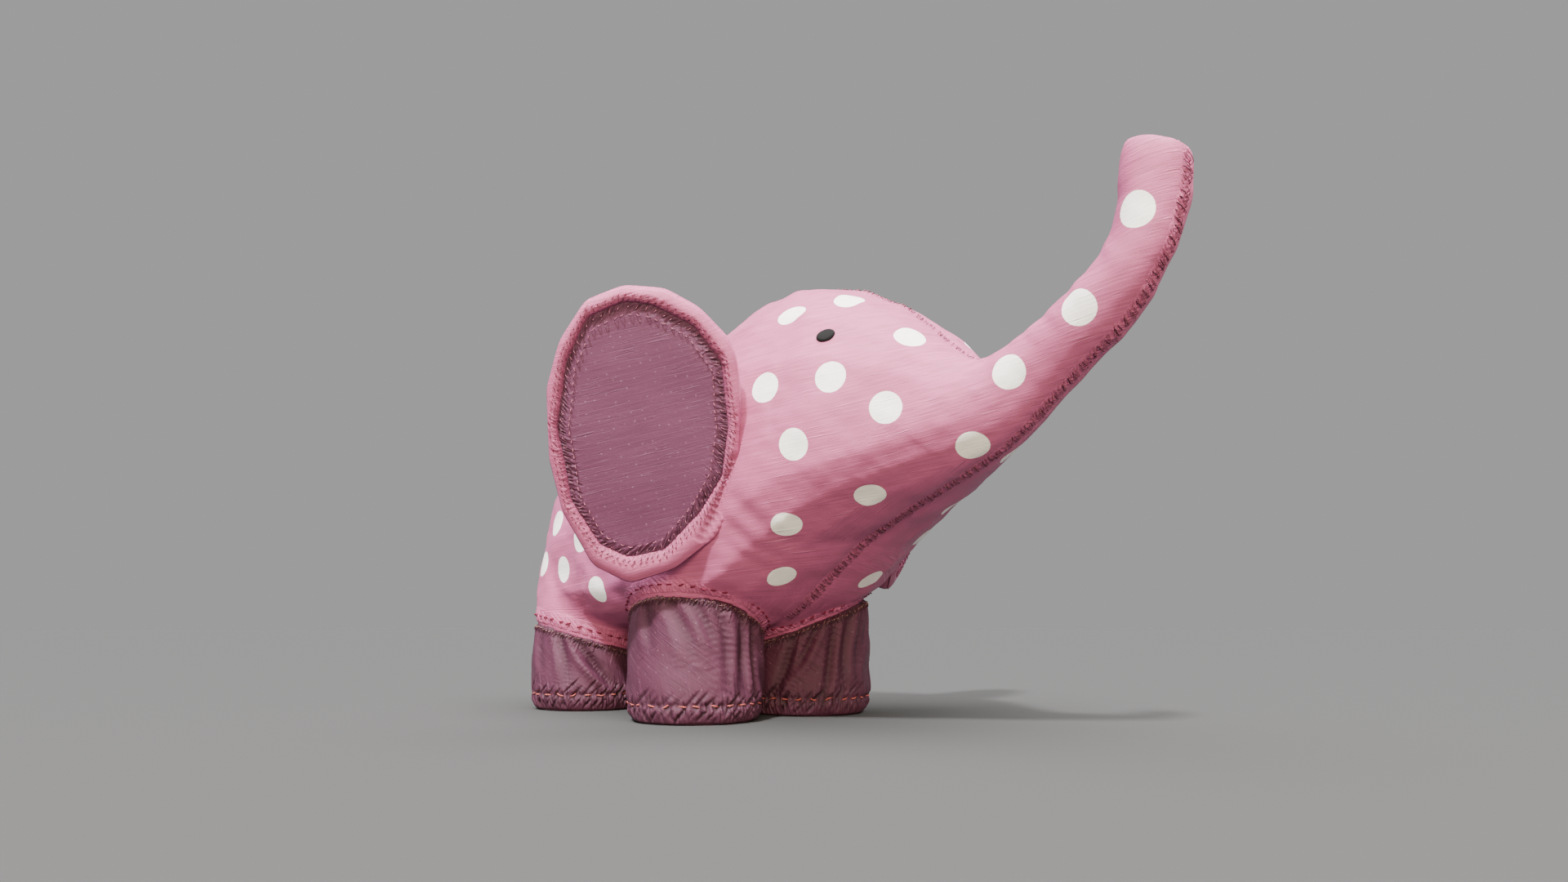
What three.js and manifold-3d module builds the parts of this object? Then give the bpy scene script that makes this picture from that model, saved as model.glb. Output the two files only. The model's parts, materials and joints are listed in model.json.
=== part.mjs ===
// A sewn and stuffed toy elephant standing on four feet, with its trunk raised.
// Millimetres, +Z up, face towards -Y, the elephant's left side at +X, symmetric about X = 0.
// The origin is on the ground, under the middle of the outer box.
import * as THREE from 'three';
import { LoftGeometry } from 'three/addons/geometries/LoftGeometry.js';
import { mergeVertices } from 'three/addons/utils/BufferGeometryUtils.js';
import Module from 'manifold-3d';

const wasm = await Module();
wasm.setup();

// ---- driving dimensions ----
const SKIN = 1.2; // cloth with its seam allowance
const GAP = 0.3; // clearance kept between neighbouring pieces
const STITCH_LIFT = 0.8; // how far a row of stitches stands off the cloth
const STITCH_WIDTH = 2.4;
const FAR = 400; // reach of a cutting block
const MERGE_DISTANCE = 1e-4;

const FRONT_LEG_RADIUS = 30;
const REAR_LEG_RADIUS = 27.5;
const LEG_X = 34;
const FRONT_LEG_Y = 48;
const REAR_LEG_Y = 142.5;
const LEG_TOP = 88; // inside the torso
const SLEEVE_REACH = 33.4; // radius of the column that holds one leg's sleeve
const SOLE_THICKNESS = 1.5;
const HEM_LIFT = 0.3; // the sleeve's lower edge stays this much above the sole's face
const SOLE_STITCH_HEIGHT = 8;

const TRUNK_HINGE = { y: -92, z: 125 };
const TRUNK_BALL_RADIUS = 27; // the trunk's root turns inside the head on this radius
const BALL_CLEARANCE = 0.6;

// An ear is a flat oval cushion. Its own frame has u outwards from the root, v up and w to the back.
const EAR_ROOT = new THREE.Vector3(-61, -11, 121);
const EAR_OPENING = THREE.MathUtils.degToRad(50); // from the side of the body to the ear
const EAR_LEAN = THREE.MathUtils.degToRad(25); // its top forward of its bottom
const EAR_HALF_THICKNESS = 5.5;
const EAR_OUTLINE = { u: 35, half: 39.5, top: 59, bottom: 66, roundTop: 2.25, roundBottom: 1.85 };
const LINING_OUTLINE = { u: 35.5, half: 35, top: 53, bottom: 55, roundTop: 2.25, roundBottom: 1.85 };
const EAR_BOTTOM_DRIFT = 7; // the bottom point lies this much further out than the middle
const EAR_CLEARANCE = 2.4; // from the body at rest
const TURNED_CLEARANCE = 1.3; // from the body, when a joined piece has turned
const EAR_TURNS = [-12, -6, 0, 10, 20, 30]; // degrees, positive brings the ear forwards
const ROOT_SEAM = { inner: -12, outer: 10, bottom: -22, top: 36 }; // where the ear is sewn on

const EYE = new THREE.Vector3(-41, -46.6, 157.4);
const EYE_NORMAL = new THREE.Vector3(-0.84, -0.42, 0.35).normalize();
const EYE_LENGTH = 8.6;
const EYE_HEIGHT = 6.8;
const EYE_THICKNESS = 1.2;
const EYE_TILT = THREE.MathUtils.degToRad(8); // its front end raised

const TAIL_PATH = [[170.2, 101], [174.5, 101], [178.2, 97], [179, 90], [179, 77], [179, 65]]; // y, z
const TAIL_PIVOT = new THREE.Vector3(0, 171, 101);
const TAIL_TURNS = [0, 15, 30, 45, 60]; // degrees, positive lifts the tail
const TAIL_RADIUS = 3;
const TAIL_SIDES = 8;
const TAIL_STEPS = 9;
// radius, z
const TUFT_PROFILE = [[0, 41], [3.5, 42], [5.6, 47], [6, 53], [4.6, 60], [2.4, 64.4], [0, 64.7]];

// ---- colours ----
const PINK = { color: 0xdfa0bf, roughness: 0.85, metalness: 0 };
const PLUM = { color: 0x94637c, roughness: 0.9, metalness: 0 };
const THREAD = { color: 0x7a2f4c, roughness: 0.7, metalness: 0 };
const FELT = { color: 0x2a2a2e, roughness: 0.95, metalness: 0 };
const FILLING = { color: 0xf2efe8, roughness: 1, metalness: 0 };

// ---- solids from three.js geometry ----
function toSolid(geometry) {
  const bare = new THREE.BufferGeometry();
  bare.setAttribute('position', geometry.getAttribute('position'));
  bare.setIndex(geometry.getIndex());
  const merged = mergeVertices(bare, MERGE_DISTANCE);
  return new wasm.Manifold(new wasm.Mesh({
    numProp: 3,
    vertProperties: new Float32Array(merged.attributes.position.array),
    triVerts: new Uint32Array(merged.index.array),
  }));
}

function toGeometry(solid) {
  const mesh = solid.getMesh();
  const geometry = new THREE.BufferGeometry();
  geometry.setAttribute('position', new THREE.BufferAttribute(new Float32Array(mesh.vertProperties), 3));
  geometry.setIndex(new THREE.BufferAttribute(new Uint32Array(mesh.triVerts), 1));
  return geometry;
}

// The largest body of a cut, without any sliver left beside it.
function mainBody(solid) {
  return solid.decompose().reduce((best, one) => (one.volume() > best.volume() ? one : best));
}

function block(lowX, highX, lowY, highY, lowZ, highZ) {
  const box = new THREE.BoxGeometry(highX - lowX, highY - lowY, highZ - lowZ);
  box.translate((lowX + highX) / 2, (lowY + highY) / 2, (lowZ + highZ) / 2);
  return toSolid(box);
}

// The same solid on the elephant's other side.
function mirrored(solid) {
  const geometry = toGeometry(solid);
  geometry.scale(-1, 1, 1);
  const index = geometry.index.array;
  for (let i = 0; i < index.length; i += 3) {
    [index[i], index[i + 1]] = [index[i + 1], index[i]];
  }
  return toSolid(geometry);
}

const group = new THREE.Group();

function addNode(name, solid, finish) {
  const mesh = new THREE.Mesh(toGeometry(mainBody(solid)), new THREE.MeshStandardMaterial(finish));
  mesh.name = name;
  group.add(mesh);
}

// ---- torso, head and trunk: one tapering tube of sections ----
// low and high are the section's underside and top on the middle plane (y, z), half its half width,
// widest how far up its widest line sits, upper and lower how square its two halves are.
const STATIONS = [
  { low: [171, 78], high: [169, 108], half: 22, widest: 0.5, upper: 2, lower: 2 },
  { low: [168, 56], high: [163, 128], half: 42, widest: 0.48, upper: 2, lower: 2.4 },
  { low: [157, 44], high: [151, 144], half: 55, widest: 0.42, upper: 2, lower: 3 },
  { low: [134, 40], high: [128, 158], half: 61.5, widest: 0.38, upper: 2, lower: 3.6 },
  { low: [98, 40], high: [98, 169], half: 64, widest: 0.36, upper: 2, lower: 4 },
  { low: [62, 40], high: [62, 179], half: 65, widest: 0.38, upper: 1.9, lower: 4 },
  { low: [26, 42], high: [26, 191], half: 64, widest: 0.42, upper: 1.9, lower: 3.4 },
  { low: [-2, 59], high: [-4, 195], half: 61.5, widest: 0.43, upper: 2, lower: 3.2 },
  { low: [-30, 77], high: [-36, 185], half: 55, widest: 0.44, upper: 2.1, lower: 3 },
  { low: [-60, 90], high: [-65, 166.5], half: 42.5, widest: 0.45, upper: 2.3, lower: 2.8 },
  { low: [-91, 102], high: [-91, 145.5], half: 25.5, widest: 0.5, upper: 2.2, lower: 2.1 },
  { low: [-110, 111], high: [-103, 145], half: 18.5, widest: 0.5, upper: 2, lower: 2 },
  { low: [-129, 125.5], high: [-114, 149.5], half: 15.3, widest: 0.5, upper: 2, lower: 2 },
  { low: [-150, 139.5], high: [-134.5, 161], half: 14.2, widest: 0.5, upper: 2, lower: 2 },
  { low: [-171, 159.5], high: [-149, 173], half: 13, widest: 0.5, upper: 2, lower: 2 },
  { low: [-181, 182], high: [-156.5, 188], half: 12.5, widest: 0.5, upper: 2, lower: 2 },
  { low: [-184, 201], high: [-160, 208.5], half: 12.2, widest: 0.5, upper: 2.1, lower: 2.1 },
  { low: [-182, 204.5], high: [-162, 211], half: 10, widest: 0.5, upper: 2.1, lower: 2.1 },
];
const RING_POINTS = 16;
const RING_COUNT = 27;
const END_SHARE = 0.12; // the part of the length over which an inset also draws each end in
const PERCENT = 100;

const lowLine = new THREE.CatmullRomCurve3(STATIONS.map((s) => new THREE.Vector3(0, ...s.low)));
const highLine = new THREE.CatmullRomCurve3(STATIONS.map((s) => new THREE.Vector3(0, ...s.high)));
const girthLine = new THREE.CatmullRomCurve3(
  STATIONS.map((s) => new THREE.Vector3(s.half, PERCENT * s.widest, 0)),
);
const squareLine = new THREE.CatmullRomCurve3(
  STATIONS.map((s) => new THREE.Vector3(PERCENT * s.upper, PERCENT * s.lower, 0)),
);

function bodyRing(t, inset, push) {
  const low = lowLine.getPoint(t);
  const girth = girthLine.getPoint(t);
  const square = squareLine.getPoint(t);
  const up = highLine.getPoint(t).sub(low);
  const height = up.length();
  up.normalize();
  const forward = new THREE.Vector3(0, -up.z, up.y);
  const below = height * girth.y / PERCENT;
  const middle = low.addScaledVector(up, below).addScaledVector(forward, push);
  const ring = [];
  for (let i = 0; i < RING_POINTS; i += 1) {
    const angle = (2 * Math.PI * i) / RING_POINTS;
    const across = Math.cos(angle);
    const rise = Math.sin(angle);
    const power = 2 * PERCENT / (rise > 0 ? square.x : square.y);
    const reach = (rise > 0 ? height - below : below) - inset;
    const point = middle.clone().addScaledVector(up, reach * Math.sign(rise) * Math.abs(rise) ** power);
    point.x = (girth.x - inset) * Math.sign(across) * Math.abs(across) ** power;
    ring.push(point);
  }
  return ring;
}

function bodyTube(inset) {
  const rings = [];
  for (let i = 0; i < RING_COUNT; i += 1) {
    const t = i / (RING_COUNT - 1);
    const nearRump = Math.max(0, 1 - t / END_SHARE);
    const nearTip = Math.max(0, 1 - (1 - t) / END_SHARE);
    rings.push(bodyRing(t, inset, inset * (nearRump - nearTip)));
  }
  return toSolid(new LoftGeometry(rings, { closed: true, capStart: true, capEnd: true }));
}

// ---- legs: round columns that run up into the torso ----
const LEG_PROFILE = [
  { z: 0, inward: 4 },
  { z: 3, inward: 1.6 },
  { z: 9, inward: 0 },
  { z: 60, inward: 0 },
  { z: LEG_TOP, inward: 4 },
];
const LEG_SIDES = 20;
// rise is the sleeve's upper edge at the leg's axis, outward and forward are how that edge slopes,
// and stuffingTop is the height up to which the leg is stuffed on its own.
const LEGS = [
  {
    name: 'front',
    y: FRONT_LEG_Y,
    radius: FRONT_LEG_RADIUS,
    rise: 44,
    outward: 0.32,
    forward: 0.18,
    stuffingTop: 44,
  },
  {
    name: 'rear',
    y: REAR_LEG_Y,
    radius: REAR_LEG_RADIUS,
    rise: 35.5,
    outward: 0.24,
    forward: -0.14,
    stuffingTop: 58,
  },
];

function legColumn({ y, radius }, inset, bottom) {
  const foot = radius - LEG_PROFILE[0].inward - inset;
  const outline = [new THREE.Vector2(0, bottom), new THREE.Vector2(foot, bottom)];
  for (const { z, inward } of LEG_PROFILE) {
    if (z > bottom) {
      outline.push(new THREE.Vector2(radius - inward - inset, z));
    }
  }
  outline.push(new THREE.Vector2(0, LEG_TOP));
  const column = new THREE.LatheGeometry(outline, LEG_SIDES);
  column.rotateX(Math.PI / 2);
  column.translate(-LEG_X, y, 0);
  return toSolid(column);
}

function wholeBody(inset, bottom) {
  const right = legColumn(LEGS[0], inset, bottom).add(legColumn(LEGS[1], inset, bottom));
  return bodyTube(inset).add(right).add(mirrored(right));
}

// Everything round one right leg below a plane: at height rise on the leg's axis, and sloping.
function belowPlane({ y, rise, outward, forward }) {
  const column = new THREE.CylinderGeometry(SLEEVE_REACH, SLEEVE_REACH, FAR, LEG_SIDES);
  column.rotateX(Math.PI / 2);
  column.translate(0, 0, -FAR / 2);
  const slope = new THREE.Matrix4().set(
    1, 0, 0, -LEG_X,
    0, 1, 0, y,
    -outward, -forward, 1, rise,
    0, 0, 0, 1,
  );
  column.applyMatrix4(slope);
  return toSolid(column);
}

function belowSleeveEdge(leg, lift) {
  return belowPlane({ ...leg, rise: leg.rise + lift });
}

function stuffedLeg(leg, lift) {
  return belowPlane({ y: leg.y, rise: leg.stuffingTop + lift, outward: 0, forward: 0 });
}

// The room that a fixed solid takes up beside a piece that turns about an axis through the pivot.
function roomBeside(solid, pivot, axis, turns) {
  return turns.map((turn) => {
    const geometry = toGeometry(solid);
    geometry.translate(-pivot.x, -pivot.y, -pivot.z);
    geometry.applyQuaternion(
      new THREE.Quaternion().setFromAxisAngle(axis, -THREE.MathUtils.degToRad(turn)),
    );
    geometry.translate(pivot.x, pivot.y, pivot.z);
    return toSolid(geometry);
  }).reduce((room, one) => room.add(one));
}

const rightHalf = block(-FAR, -GAP / 2, -FAR, FAR, -FAR, FAR);
const leftHalf = block(GAP / 2, FAR, -FAR, FAR, -FAR, FAR);
const seamStrip = block(-STITCH_WIDTH / 2, STITCH_WIDTH / 2, -FAR, FAR, -FAR, FAR);

const outer = wholeBody(0, HEM_LIFT);
const inner = wholeBody(SKIN, -SKIN);
const filled = wholeBody(SKIN + GAP, SOLE_THICKNESS + GAP);
const skin = outer.subtract(inner);

// ---- the trunk's root: a drum about the hinge, turning in a hollow of the head ----
function hingeDrum(radius) {
  const drum = new THREE.CylinderGeometry(radius, radius, FAR, 2 * LEG_SIDES);
  drum.rotateZ(Math.PI / 2);
  drum.translate(0, TRUNK_HINGE.y, TRUNK_HINGE.z);
  return toSolid(drum);
}

const aheadOfHinge = block(-FAR, FAR, -FAR, TRUNK_HINGE.y, -FAR, FAR);
const trunkSpace = aheadOfHinge.add(hingeDrum(TRUNK_BALL_RADIUS));
const headSpace = block(-FAR, FAR, TRUNK_HINGE.y + BALL_CLEARANCE, FAR, -FAR, FAR)
  .subtract(hingeDrum(TRUNK_BALL_RADIUS + BALL_CLEARANCE));

addNode('trunk_stuffing', filled.intersect(trunkSpace), FILLING);
addNode('trunk_panel_right', skin.intersect(trunkSpace).intersect(rightHalf), PINK);
addNode('trunk_panel_left', skin.intersect(trunkSpace).intersect(leftHalf), PINK);

// ---- sleeves, soles and leg stuffing ----
let aboveSleeves = headSpace;
let aboveStuffedLegs = headSpace;
for (const shape of LEGS) {
  const sleeve = belowSleeveEdge(shape, GAP);
  aboveSleeves = aboveSleeves.subtract(sleeve).subtract(mirrored(sleeve));
  const leg = stuffedLeg(shape, GAP);
  aboveStuffedLegs = aboveStuffedLegs.subtract(leg).subtract(mirrored(leg));
}

const stitchLayer = wholeBody(-STITCH_LIFT, -SKIN).subtract(wholeBody(-GAP, -SKIN));
for (const shape of LEGS) {
  const column = belowSleeveEdge(shape, 0);
  const sole = new THREE.CylinderGeometry(
    shape.radius - LEG_PROFILE[0].inward - SKIN - GAP,
    shape.radius - LEG_PROFILE[0].inward - SKIN - GAP,
    SOLE_THICKNESS,
    LEG_SIDES,
  );
  sole.rotateX(Math.PI / 2);
  sole.translate(-LEG_X, shape.y, SOLE_THICKNESS / 2);
  const edgeBand = belowSleeveEdge(shape, STITCH_WIDTH / 2)
    .subtract(belowSleeveEdge(shape, -STITCH_WIDTH / 2));
  const lowBand = column.intersect(block(
    -FAR, FAR, -FAR, FAR, SOLE_STITCH_HEIGHT - STITCH_WIDTH / 2, SOLE_STITCH_HEIGHT + STITCH_WIDTH / 2,
  ));
  const pieces = [
    [`sleeve_${shape.name}`, skin.intersect(column), PLUM],
    [`sole_${shape.name}`, toSolid(sole), PLUM],
    [`leg_stuffing_${shape.name}`, filled.intersect(stuffedLeg(shape, 0)), FILLING],
    [`sleeve_stitching_${shape.name}`, stitchLayer.intersect(edgeBand), THREAD],
    [`sole_stitching_${shape.name}`, stitchLayer.intersect(lowBand), THREAD],
  ];
  for (const [name, solid, finish] of pieces) {
    const main = mainBody(solid);
    addNode(`${name}_right`, main, finish);
    addNode(`${name}_left`, mirrored(main), finish);
  }
}

// ---- torso and head: two side panels, a belly panel, the stuffing and the middle seams ----
const BELLY = { halfWidth: 30, front: 30, rear: 158, top: 54 };
const bellySpace = block(-BELLY.halfWidth, BELLY.halfWidth, BELLY.front, BELLY.rear, -FAR, BELLY.top);
const aroundBelly = block(
  -BELLY.halfWidth - GAP, BELLY.halfWidth + GAP, BELLY.front - GAP, BELLY.rear + GAP, -FAR, BELLY.top + GAP,
);
const headSkin = skin.intersect(aboveSleeves);
addNode('torso_stuffing', filled.intersect(aboveStuffedLegs), FILLING);
addNode('belly_panel', headSkin.intersect(bellySpace), PINK);
addNode('side_panel_right', headSkin.subtract(aroundBelly).intersect(rightHalf), PINK);
addNode('side_panel_left', headSkin.subtract(aroundBelly).intersect(leftHalf), PINK);

const chinBlock = block(-FAR, FAR, TRUNK_HINGE.y, BELLY.front - GAP, -FAR, TRUNK_HINGE.z - BALL_CLEARANCE);
const backBlock = block(-FAR, FAR, TRUNK_HINGE.y, FAR, TRUNK_HINGE.z + BALL_CLEARANCE, FAR);
const middleSeam = stitchLayer.intersect(seamStrip);
addNode('chin_seam', middleSeam.intersect(headSpace).intersect(chinBlock), THREAD);
addNode('forehead_and_back_seam', middleSeam.intersect(headSpace).intersect(backBlock), THREAD);
addNode('trunk_seam', middleSeam.intersect(aheadOfHinge), THREAD);

// ---- ears ----
const EAR_SIDES = 20;
const earLayers = [ // how far in from the outline, and where through the thickness
  { inward: 5, depth: -1 },
  { inward: 1.6, depth: -0.8 },
  { inward: 0, depth: -0.3 },
  { inward: 0, depth: 0.3 },
  { inward: 1.6, depth: 0.8 },
  { inward: 5, depth: 1 },
];
const outwards = new THREE.Vector3(-Math.sin(EAR_OPENING), Math.cos(EAR_OPENING), 0);
const upright = new THREE.Vector3(0, 0, 1).applyAxisAngle(outwards, -EAR_LEAN);
const backwards = outwards.clone().cross(upright);
const earFrame = new THREE.Matrix4().makeBasis(outwards, upright, backwards).setPosition(EAR_ROOT);

function ovalRing(outline, inset, w) {
  const ring = [];
  for (let i = 0; i < EAR_SIDES; i += 1) {
    const angle = (2 * Math.PI * i) / EAR_SIDES;
    const across = Math.cos(angle);
    const rise = Math.sin(angle);
    const power = 2 / (rise > 0 ? outline.roundTop : outline.roundBottom);
    const reach = (rise > 0 ? outline.top : outline.bottom) - inset;
    const v = reach * Math.sign(rise) * Math.abs(rise) ** power;
    const drift = EAR_BOTTOM_DRIFT * Math.max(0, -v / outline.bottom);
    const u = (outline.half - inset) * Math.sign(across) * Math.abs(across) ** power;
    ring.push(new THREE.Vector3(outline.u + drift + u, v, w));
  }
  return ring;
}

function earSolid(rings) {
  const loft = new LoftGeometry(rings, { closed: true, capStart: true, capEnd: true });
  loft.applyMatrix4(earFrame);
  return toSolid(loft);
}

function earCushion(inset) {
  const thickness = EAR_HALF_THICKNESS - inset;
  return earSolid(earLayers.map((layer) => (
    ovalRing(EAR_OUTLINE, layer.inward + inset, layer.depth * thickness)
  )));
}

// A straight-sided oval through the front half of the ear.
function frontOval(inset) {
  return earSolid([-2 * EAR_HALF_THICKNESS, 0].map((w) => ovalRing(LINING_OUTLINE, inset, w)));
}

const bodyAndAir = wholeBody(-EAR_CLEARANCE, -SKIN)
  .add(roomBeside(wholeBody(-TURNED_CLEARANCE, -SKIN), EAR_ROOT, upright, EAR_TURNS));
const earSkin = earCushion(0).subtract(earCushion(SKIN)).subtract(bodyAndAir);
const earStitchLayer = earCushion(-STITCH_LIFT).subtract(earCushion(-GAP)).subtract(bodyAndAir);
const liningEdge = frontOval(-STITCH_WIDTH / 2).subtract(frontOval(STITCH_WIDTH / 2));
const rootCorners = [
  [ROOT_SEAM.inner, ROOT_SEAM.bottom],
  [ROOT_SEAM.outer, ROOT_SEAM.bottom],
  [ROOT_SEAM.outer, ROOT_SEAM.top],
  [ROOT_SEAM.inner, ROOT_SEAM.top],
];
const rootSlab = earSolid([-STITCH_WIDTH / 2, STITCH_WIDTH / 2].map((w) => (
  rootCorners.map(([u, v]) => new THREE.Vector3(u, v, w))
)));
const earPieces = [
  ['ear_back', earSkin.subtract(frontOval(-GAP)), PINK],
  ['ear_lining', earSkin.intersect(frontOval(0)), PLUM],
  ['ear_wadding', earCushion(SKIN + GAP).subtract(bodyAndAir), FILLING],
  ['ear_stitching', earStitchLayer.intersect(liningEdge), THREAD],
  ['ear_root_stitching', stitchLayer.intersect(rootSlab), THREAD],
];

// ---- eyes: flat felt ovals ----
const eyePin = new THREE.CylinderGeometry(EYE_HEIGHT / 2, EYE_HEIGHT / 2, EYE_LENGTH, LEG_SIDES);
eyePin.scale(EYE_LENGTH / EYE_HEIGHT, 1, 1);
const eyeForward = new THREE.Vector3(-EYE_NORMAL.y, EYE_NORMAL.x, 0).normalize();
eyeForward.applyAxisAngle(EYE_NORMAL, EYE_TILT);
const eyeAcross = eyeForward.clone().cross(EYE_NORMAL);
eyePin.applyMatrix4(new THREE.Matrix4().makeBasis(eyeForward, EYE_NORMAL, eyeAcross).setPosition(EYE));
const eyeLayer = wholeBody(-EYE_THICKNESS - GAP, -SKIN).subtract(wholeBody(-GAP, -SKIN));
earPieces.push(['eye', eyeLayer.intersect(toSolid(eyePin)), FELT]);

for (const [name, solid, finish] of earPieces) {
  const main = mainBody(solid);
  addNode(`${name}_right`, main, finish);
  addNode(`${name}_left`, mirrored(main), finish);
}

// ---- tail: a thin cloth tube with a yarn tuft ----
const tailCurve = new THREE.CatmullRomCurve3(TAIL_PATH.map(([y, z]) => new THREE.Vector3(0, y, z)));
const tailSection = new THREE.Shape().absarc(0, 0, TAIL_RADIUS, 0, 2 * Math.PI);
const tailTube = toSolid(new THREE.ExtrudeGeometry(tailSection, {
  steps: TAIL_STEPS,
  curveSegments: TAIL_SIDES,
  extrudePath: tailCurve,
}));
const tailRoom = roomBeside(wholeBody(-GAP, -SKIN), TAIL_PIVOT, new THREE.Vector3(1, 0, 0), TAIL_TURNS);
addNode('tail', tailTube.subtract(tailRoom), PINK);
const tuft = new THREE.LatheGeometry(TUFT_PROFILE.map(([r, z]) => new THREE.Vector2(r, z)), LEG_SIDES);
tuft.rotateX(Math.PI / 2);
tuft.translate(0, TAIL_PATH.at(-1)[0], 0);
addNode('tail_tuft', toSolid(tuft), PLUM);

export default group;
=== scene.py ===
import json
import math

import bmesh
import bpy
import numpy as np
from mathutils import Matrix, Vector
from mathutils.bvhtree import BVHTree


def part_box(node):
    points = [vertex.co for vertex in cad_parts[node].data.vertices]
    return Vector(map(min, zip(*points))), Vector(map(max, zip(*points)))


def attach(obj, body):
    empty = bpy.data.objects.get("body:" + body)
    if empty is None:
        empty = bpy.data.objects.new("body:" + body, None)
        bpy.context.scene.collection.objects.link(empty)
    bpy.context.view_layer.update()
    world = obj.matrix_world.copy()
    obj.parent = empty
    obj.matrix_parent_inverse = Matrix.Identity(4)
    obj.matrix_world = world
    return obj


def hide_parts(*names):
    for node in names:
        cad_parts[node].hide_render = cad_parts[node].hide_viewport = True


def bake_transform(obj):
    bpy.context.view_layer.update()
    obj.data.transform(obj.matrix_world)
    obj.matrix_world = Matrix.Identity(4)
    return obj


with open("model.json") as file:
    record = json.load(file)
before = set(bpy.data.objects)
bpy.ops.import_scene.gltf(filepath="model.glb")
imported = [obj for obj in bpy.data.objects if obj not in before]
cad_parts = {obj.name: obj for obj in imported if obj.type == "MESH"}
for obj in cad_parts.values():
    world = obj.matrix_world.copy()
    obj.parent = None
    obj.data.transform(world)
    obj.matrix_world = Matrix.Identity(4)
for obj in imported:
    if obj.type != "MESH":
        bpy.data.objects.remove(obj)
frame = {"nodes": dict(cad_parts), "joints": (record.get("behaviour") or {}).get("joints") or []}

MM = 0.001
TURN = 2 * math.pi
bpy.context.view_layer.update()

# ---- camera ----
CAMERA_PLACE = (-0.32142, -0.34544, 0.04276)
CAMERA_TURN = math.radians(-40.88)
CAMERA_PITCH = math.radians(9.83)
CAMERA_LENS = 24.15
camera_data = bpy.data.cameras.new("camera")
camera_data.lens = CAMERA_LENS
camera_data.clip_start = 0.01
camera = bpy.data.objects.new("camera", camera_data)
camera.location = CAMERA_PLACE
camera.rotation_euler = (math.pi / 2 + CAMERA_PITCH, 0, CAMERA_TURN)
bpy.context.scene.collection.objects.link(camera)
bpy.context.scene.camera = camera

# ---- driving dimensions ----
SIDES = ("right", "left")
LEG_ENDS = ("front", "rear")
SKIN_AND_GAP = 1.5 * MM  # from the frame's stuffing out to the face of the cloth
FOOT_INSET = 5.5 * MM  # a leg is this much wider than its sole's radius
FOOT_ROUNDING = 9 * MM
SLEEVE_REACH = 33.4 * MM  # from a leg's axis
joints = {joint["name"]: joint for joint in frame["joints"]}
HINGE = Vector(joints["trunk_bend"]["pos_m"])
BEND_START = HINGE + Vector((0, 14, -6)) * MM
BEND_END = HINGE + Vector((0, -16, 7)) * MM
TRUNK_BLEND = ("body", "trunk", BEND_START, BEND_END)


# ---- arrays and meshes ----
def unit(vectors):
    return vectors / np.maximum(np.linalg.norm(vectors, axis=-1, keepdims=True), 1e-12)


def rise(x, low, high):
    """0 before low, 1 beyond high, smooth between."""
    t = np.clip((x - low) / (high - low), 0, 1)
    return t * t * (3 - 2 * t)


def bell(x, width):
    """1 at zero, falling away smoothly within about that width."""
    return np.exp(-((x / width) ** 2))


def circle(count):
    """That many angles evenly round a full turn."""
    return np.arange(count) * TURN / count


def read(items, field, width=1, kind=np.int32):
    """A field of all the items of a mesh."""
    values = np.empty(len(items) * width, kind)
    items.foreach_get(field, values)
    return values.reshape(-1, width) if width > 1 else values


def points_of(obj):
    return read(obj.data.vertices, "co", 3, np.float32).astype(float)


def normals_of(obj):
    return read(obj.data.vertex_normals, "vector", 3, np.float32).astype(float)


def edges_of(obj):
    return read(obj.data.edges, "vertices", 2).T


def move_points(obj, co):
    obj.data.vertices.foreach_set("co", co.astype(np.float32).ravel())
    obj.data.update()


def new_piece(name, co, faces):
    mesh = bpy.data.meshes.new(name)
    mesh.from_pydata(np.asarray(co).reshape(-1, 3).tolist(), [], faces)
    mesh.validate()
    mesh.polygons.foreach_set("use_smooth", [True] * len(mesh.polygons))
    obj = bpy.data.objects.new(name, mesh)
    bpy.context.scene.collection.objects.link(obj)
    return obj


def store(obj, corners=False, **fields):
    """Stores a vector or a number for each point, or for each corner of a face."""
    domain, items = ("CORNER", obj.data.loops) if corners else ("POINT", obj.data.vertices)
    for name, values in fields.items():
        values = np.asarray(values, np.float32).ravel()
        kind, field = ("FLOAT_VECTOR", "vector") if len(values) == 3 * len(items) else ("FLOAT", "value")
        obj.data.attributes.new(name, kind, domain).data.foreach_set(field, values)


def grid_faces(rows, columns, closed=False):
    """The quads of rows x columns points; closed joins the last column to the first."""
    row = np.arange(rows - 1)[:, None] * columns
    column = np.arange(columns if closed else columns - 1)[None, :]
    following = (column + 1) % columns
    quads = np.stack([row + column, row + following, row + columns + following, row + columns + column], -1)
    return quads.reshape(-1, 4).tolist()


def filled_faces(rows, columns, flipped=False):
    """The faces of a closed form made of rings of points, whose first and last ring are filled in."""
    faces = grid_faces(rows, columns, closed=True)
    faces += [list(range(columns))[::-1], [(rows - 1) * columns + i for i in range(columns)]]
    return [face[::-1] for face in faces] if flipped else faces


def apply_modifiers(obj):
    graph = bpy.context.evaluated_depsgraph_get()
    mesh = bpy.data.meshes.new_from_object(obj.evaluated_get(graph))
    obj.modifiers.clear()
    obj.data = mesh
    mesh.polygons.foreach_set("use_smooth", [True] * len(mesh.polygons))


def tree_of(obj):
    return BVHTree.FromPolygons(points_of(obj).tolist(), [list(p.vertices) for p in obj.data.polygons])


def nearest(tree, co):
    """The nearest points of a surface and its normals there."""
    found = [tree.find_nearest(Vector(point)) for point in co.reshape(-1, 3)]
    return tuple(np.array([hit[k] for hit in found]).reshape(co.shape) for k in (0, 1))


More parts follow.
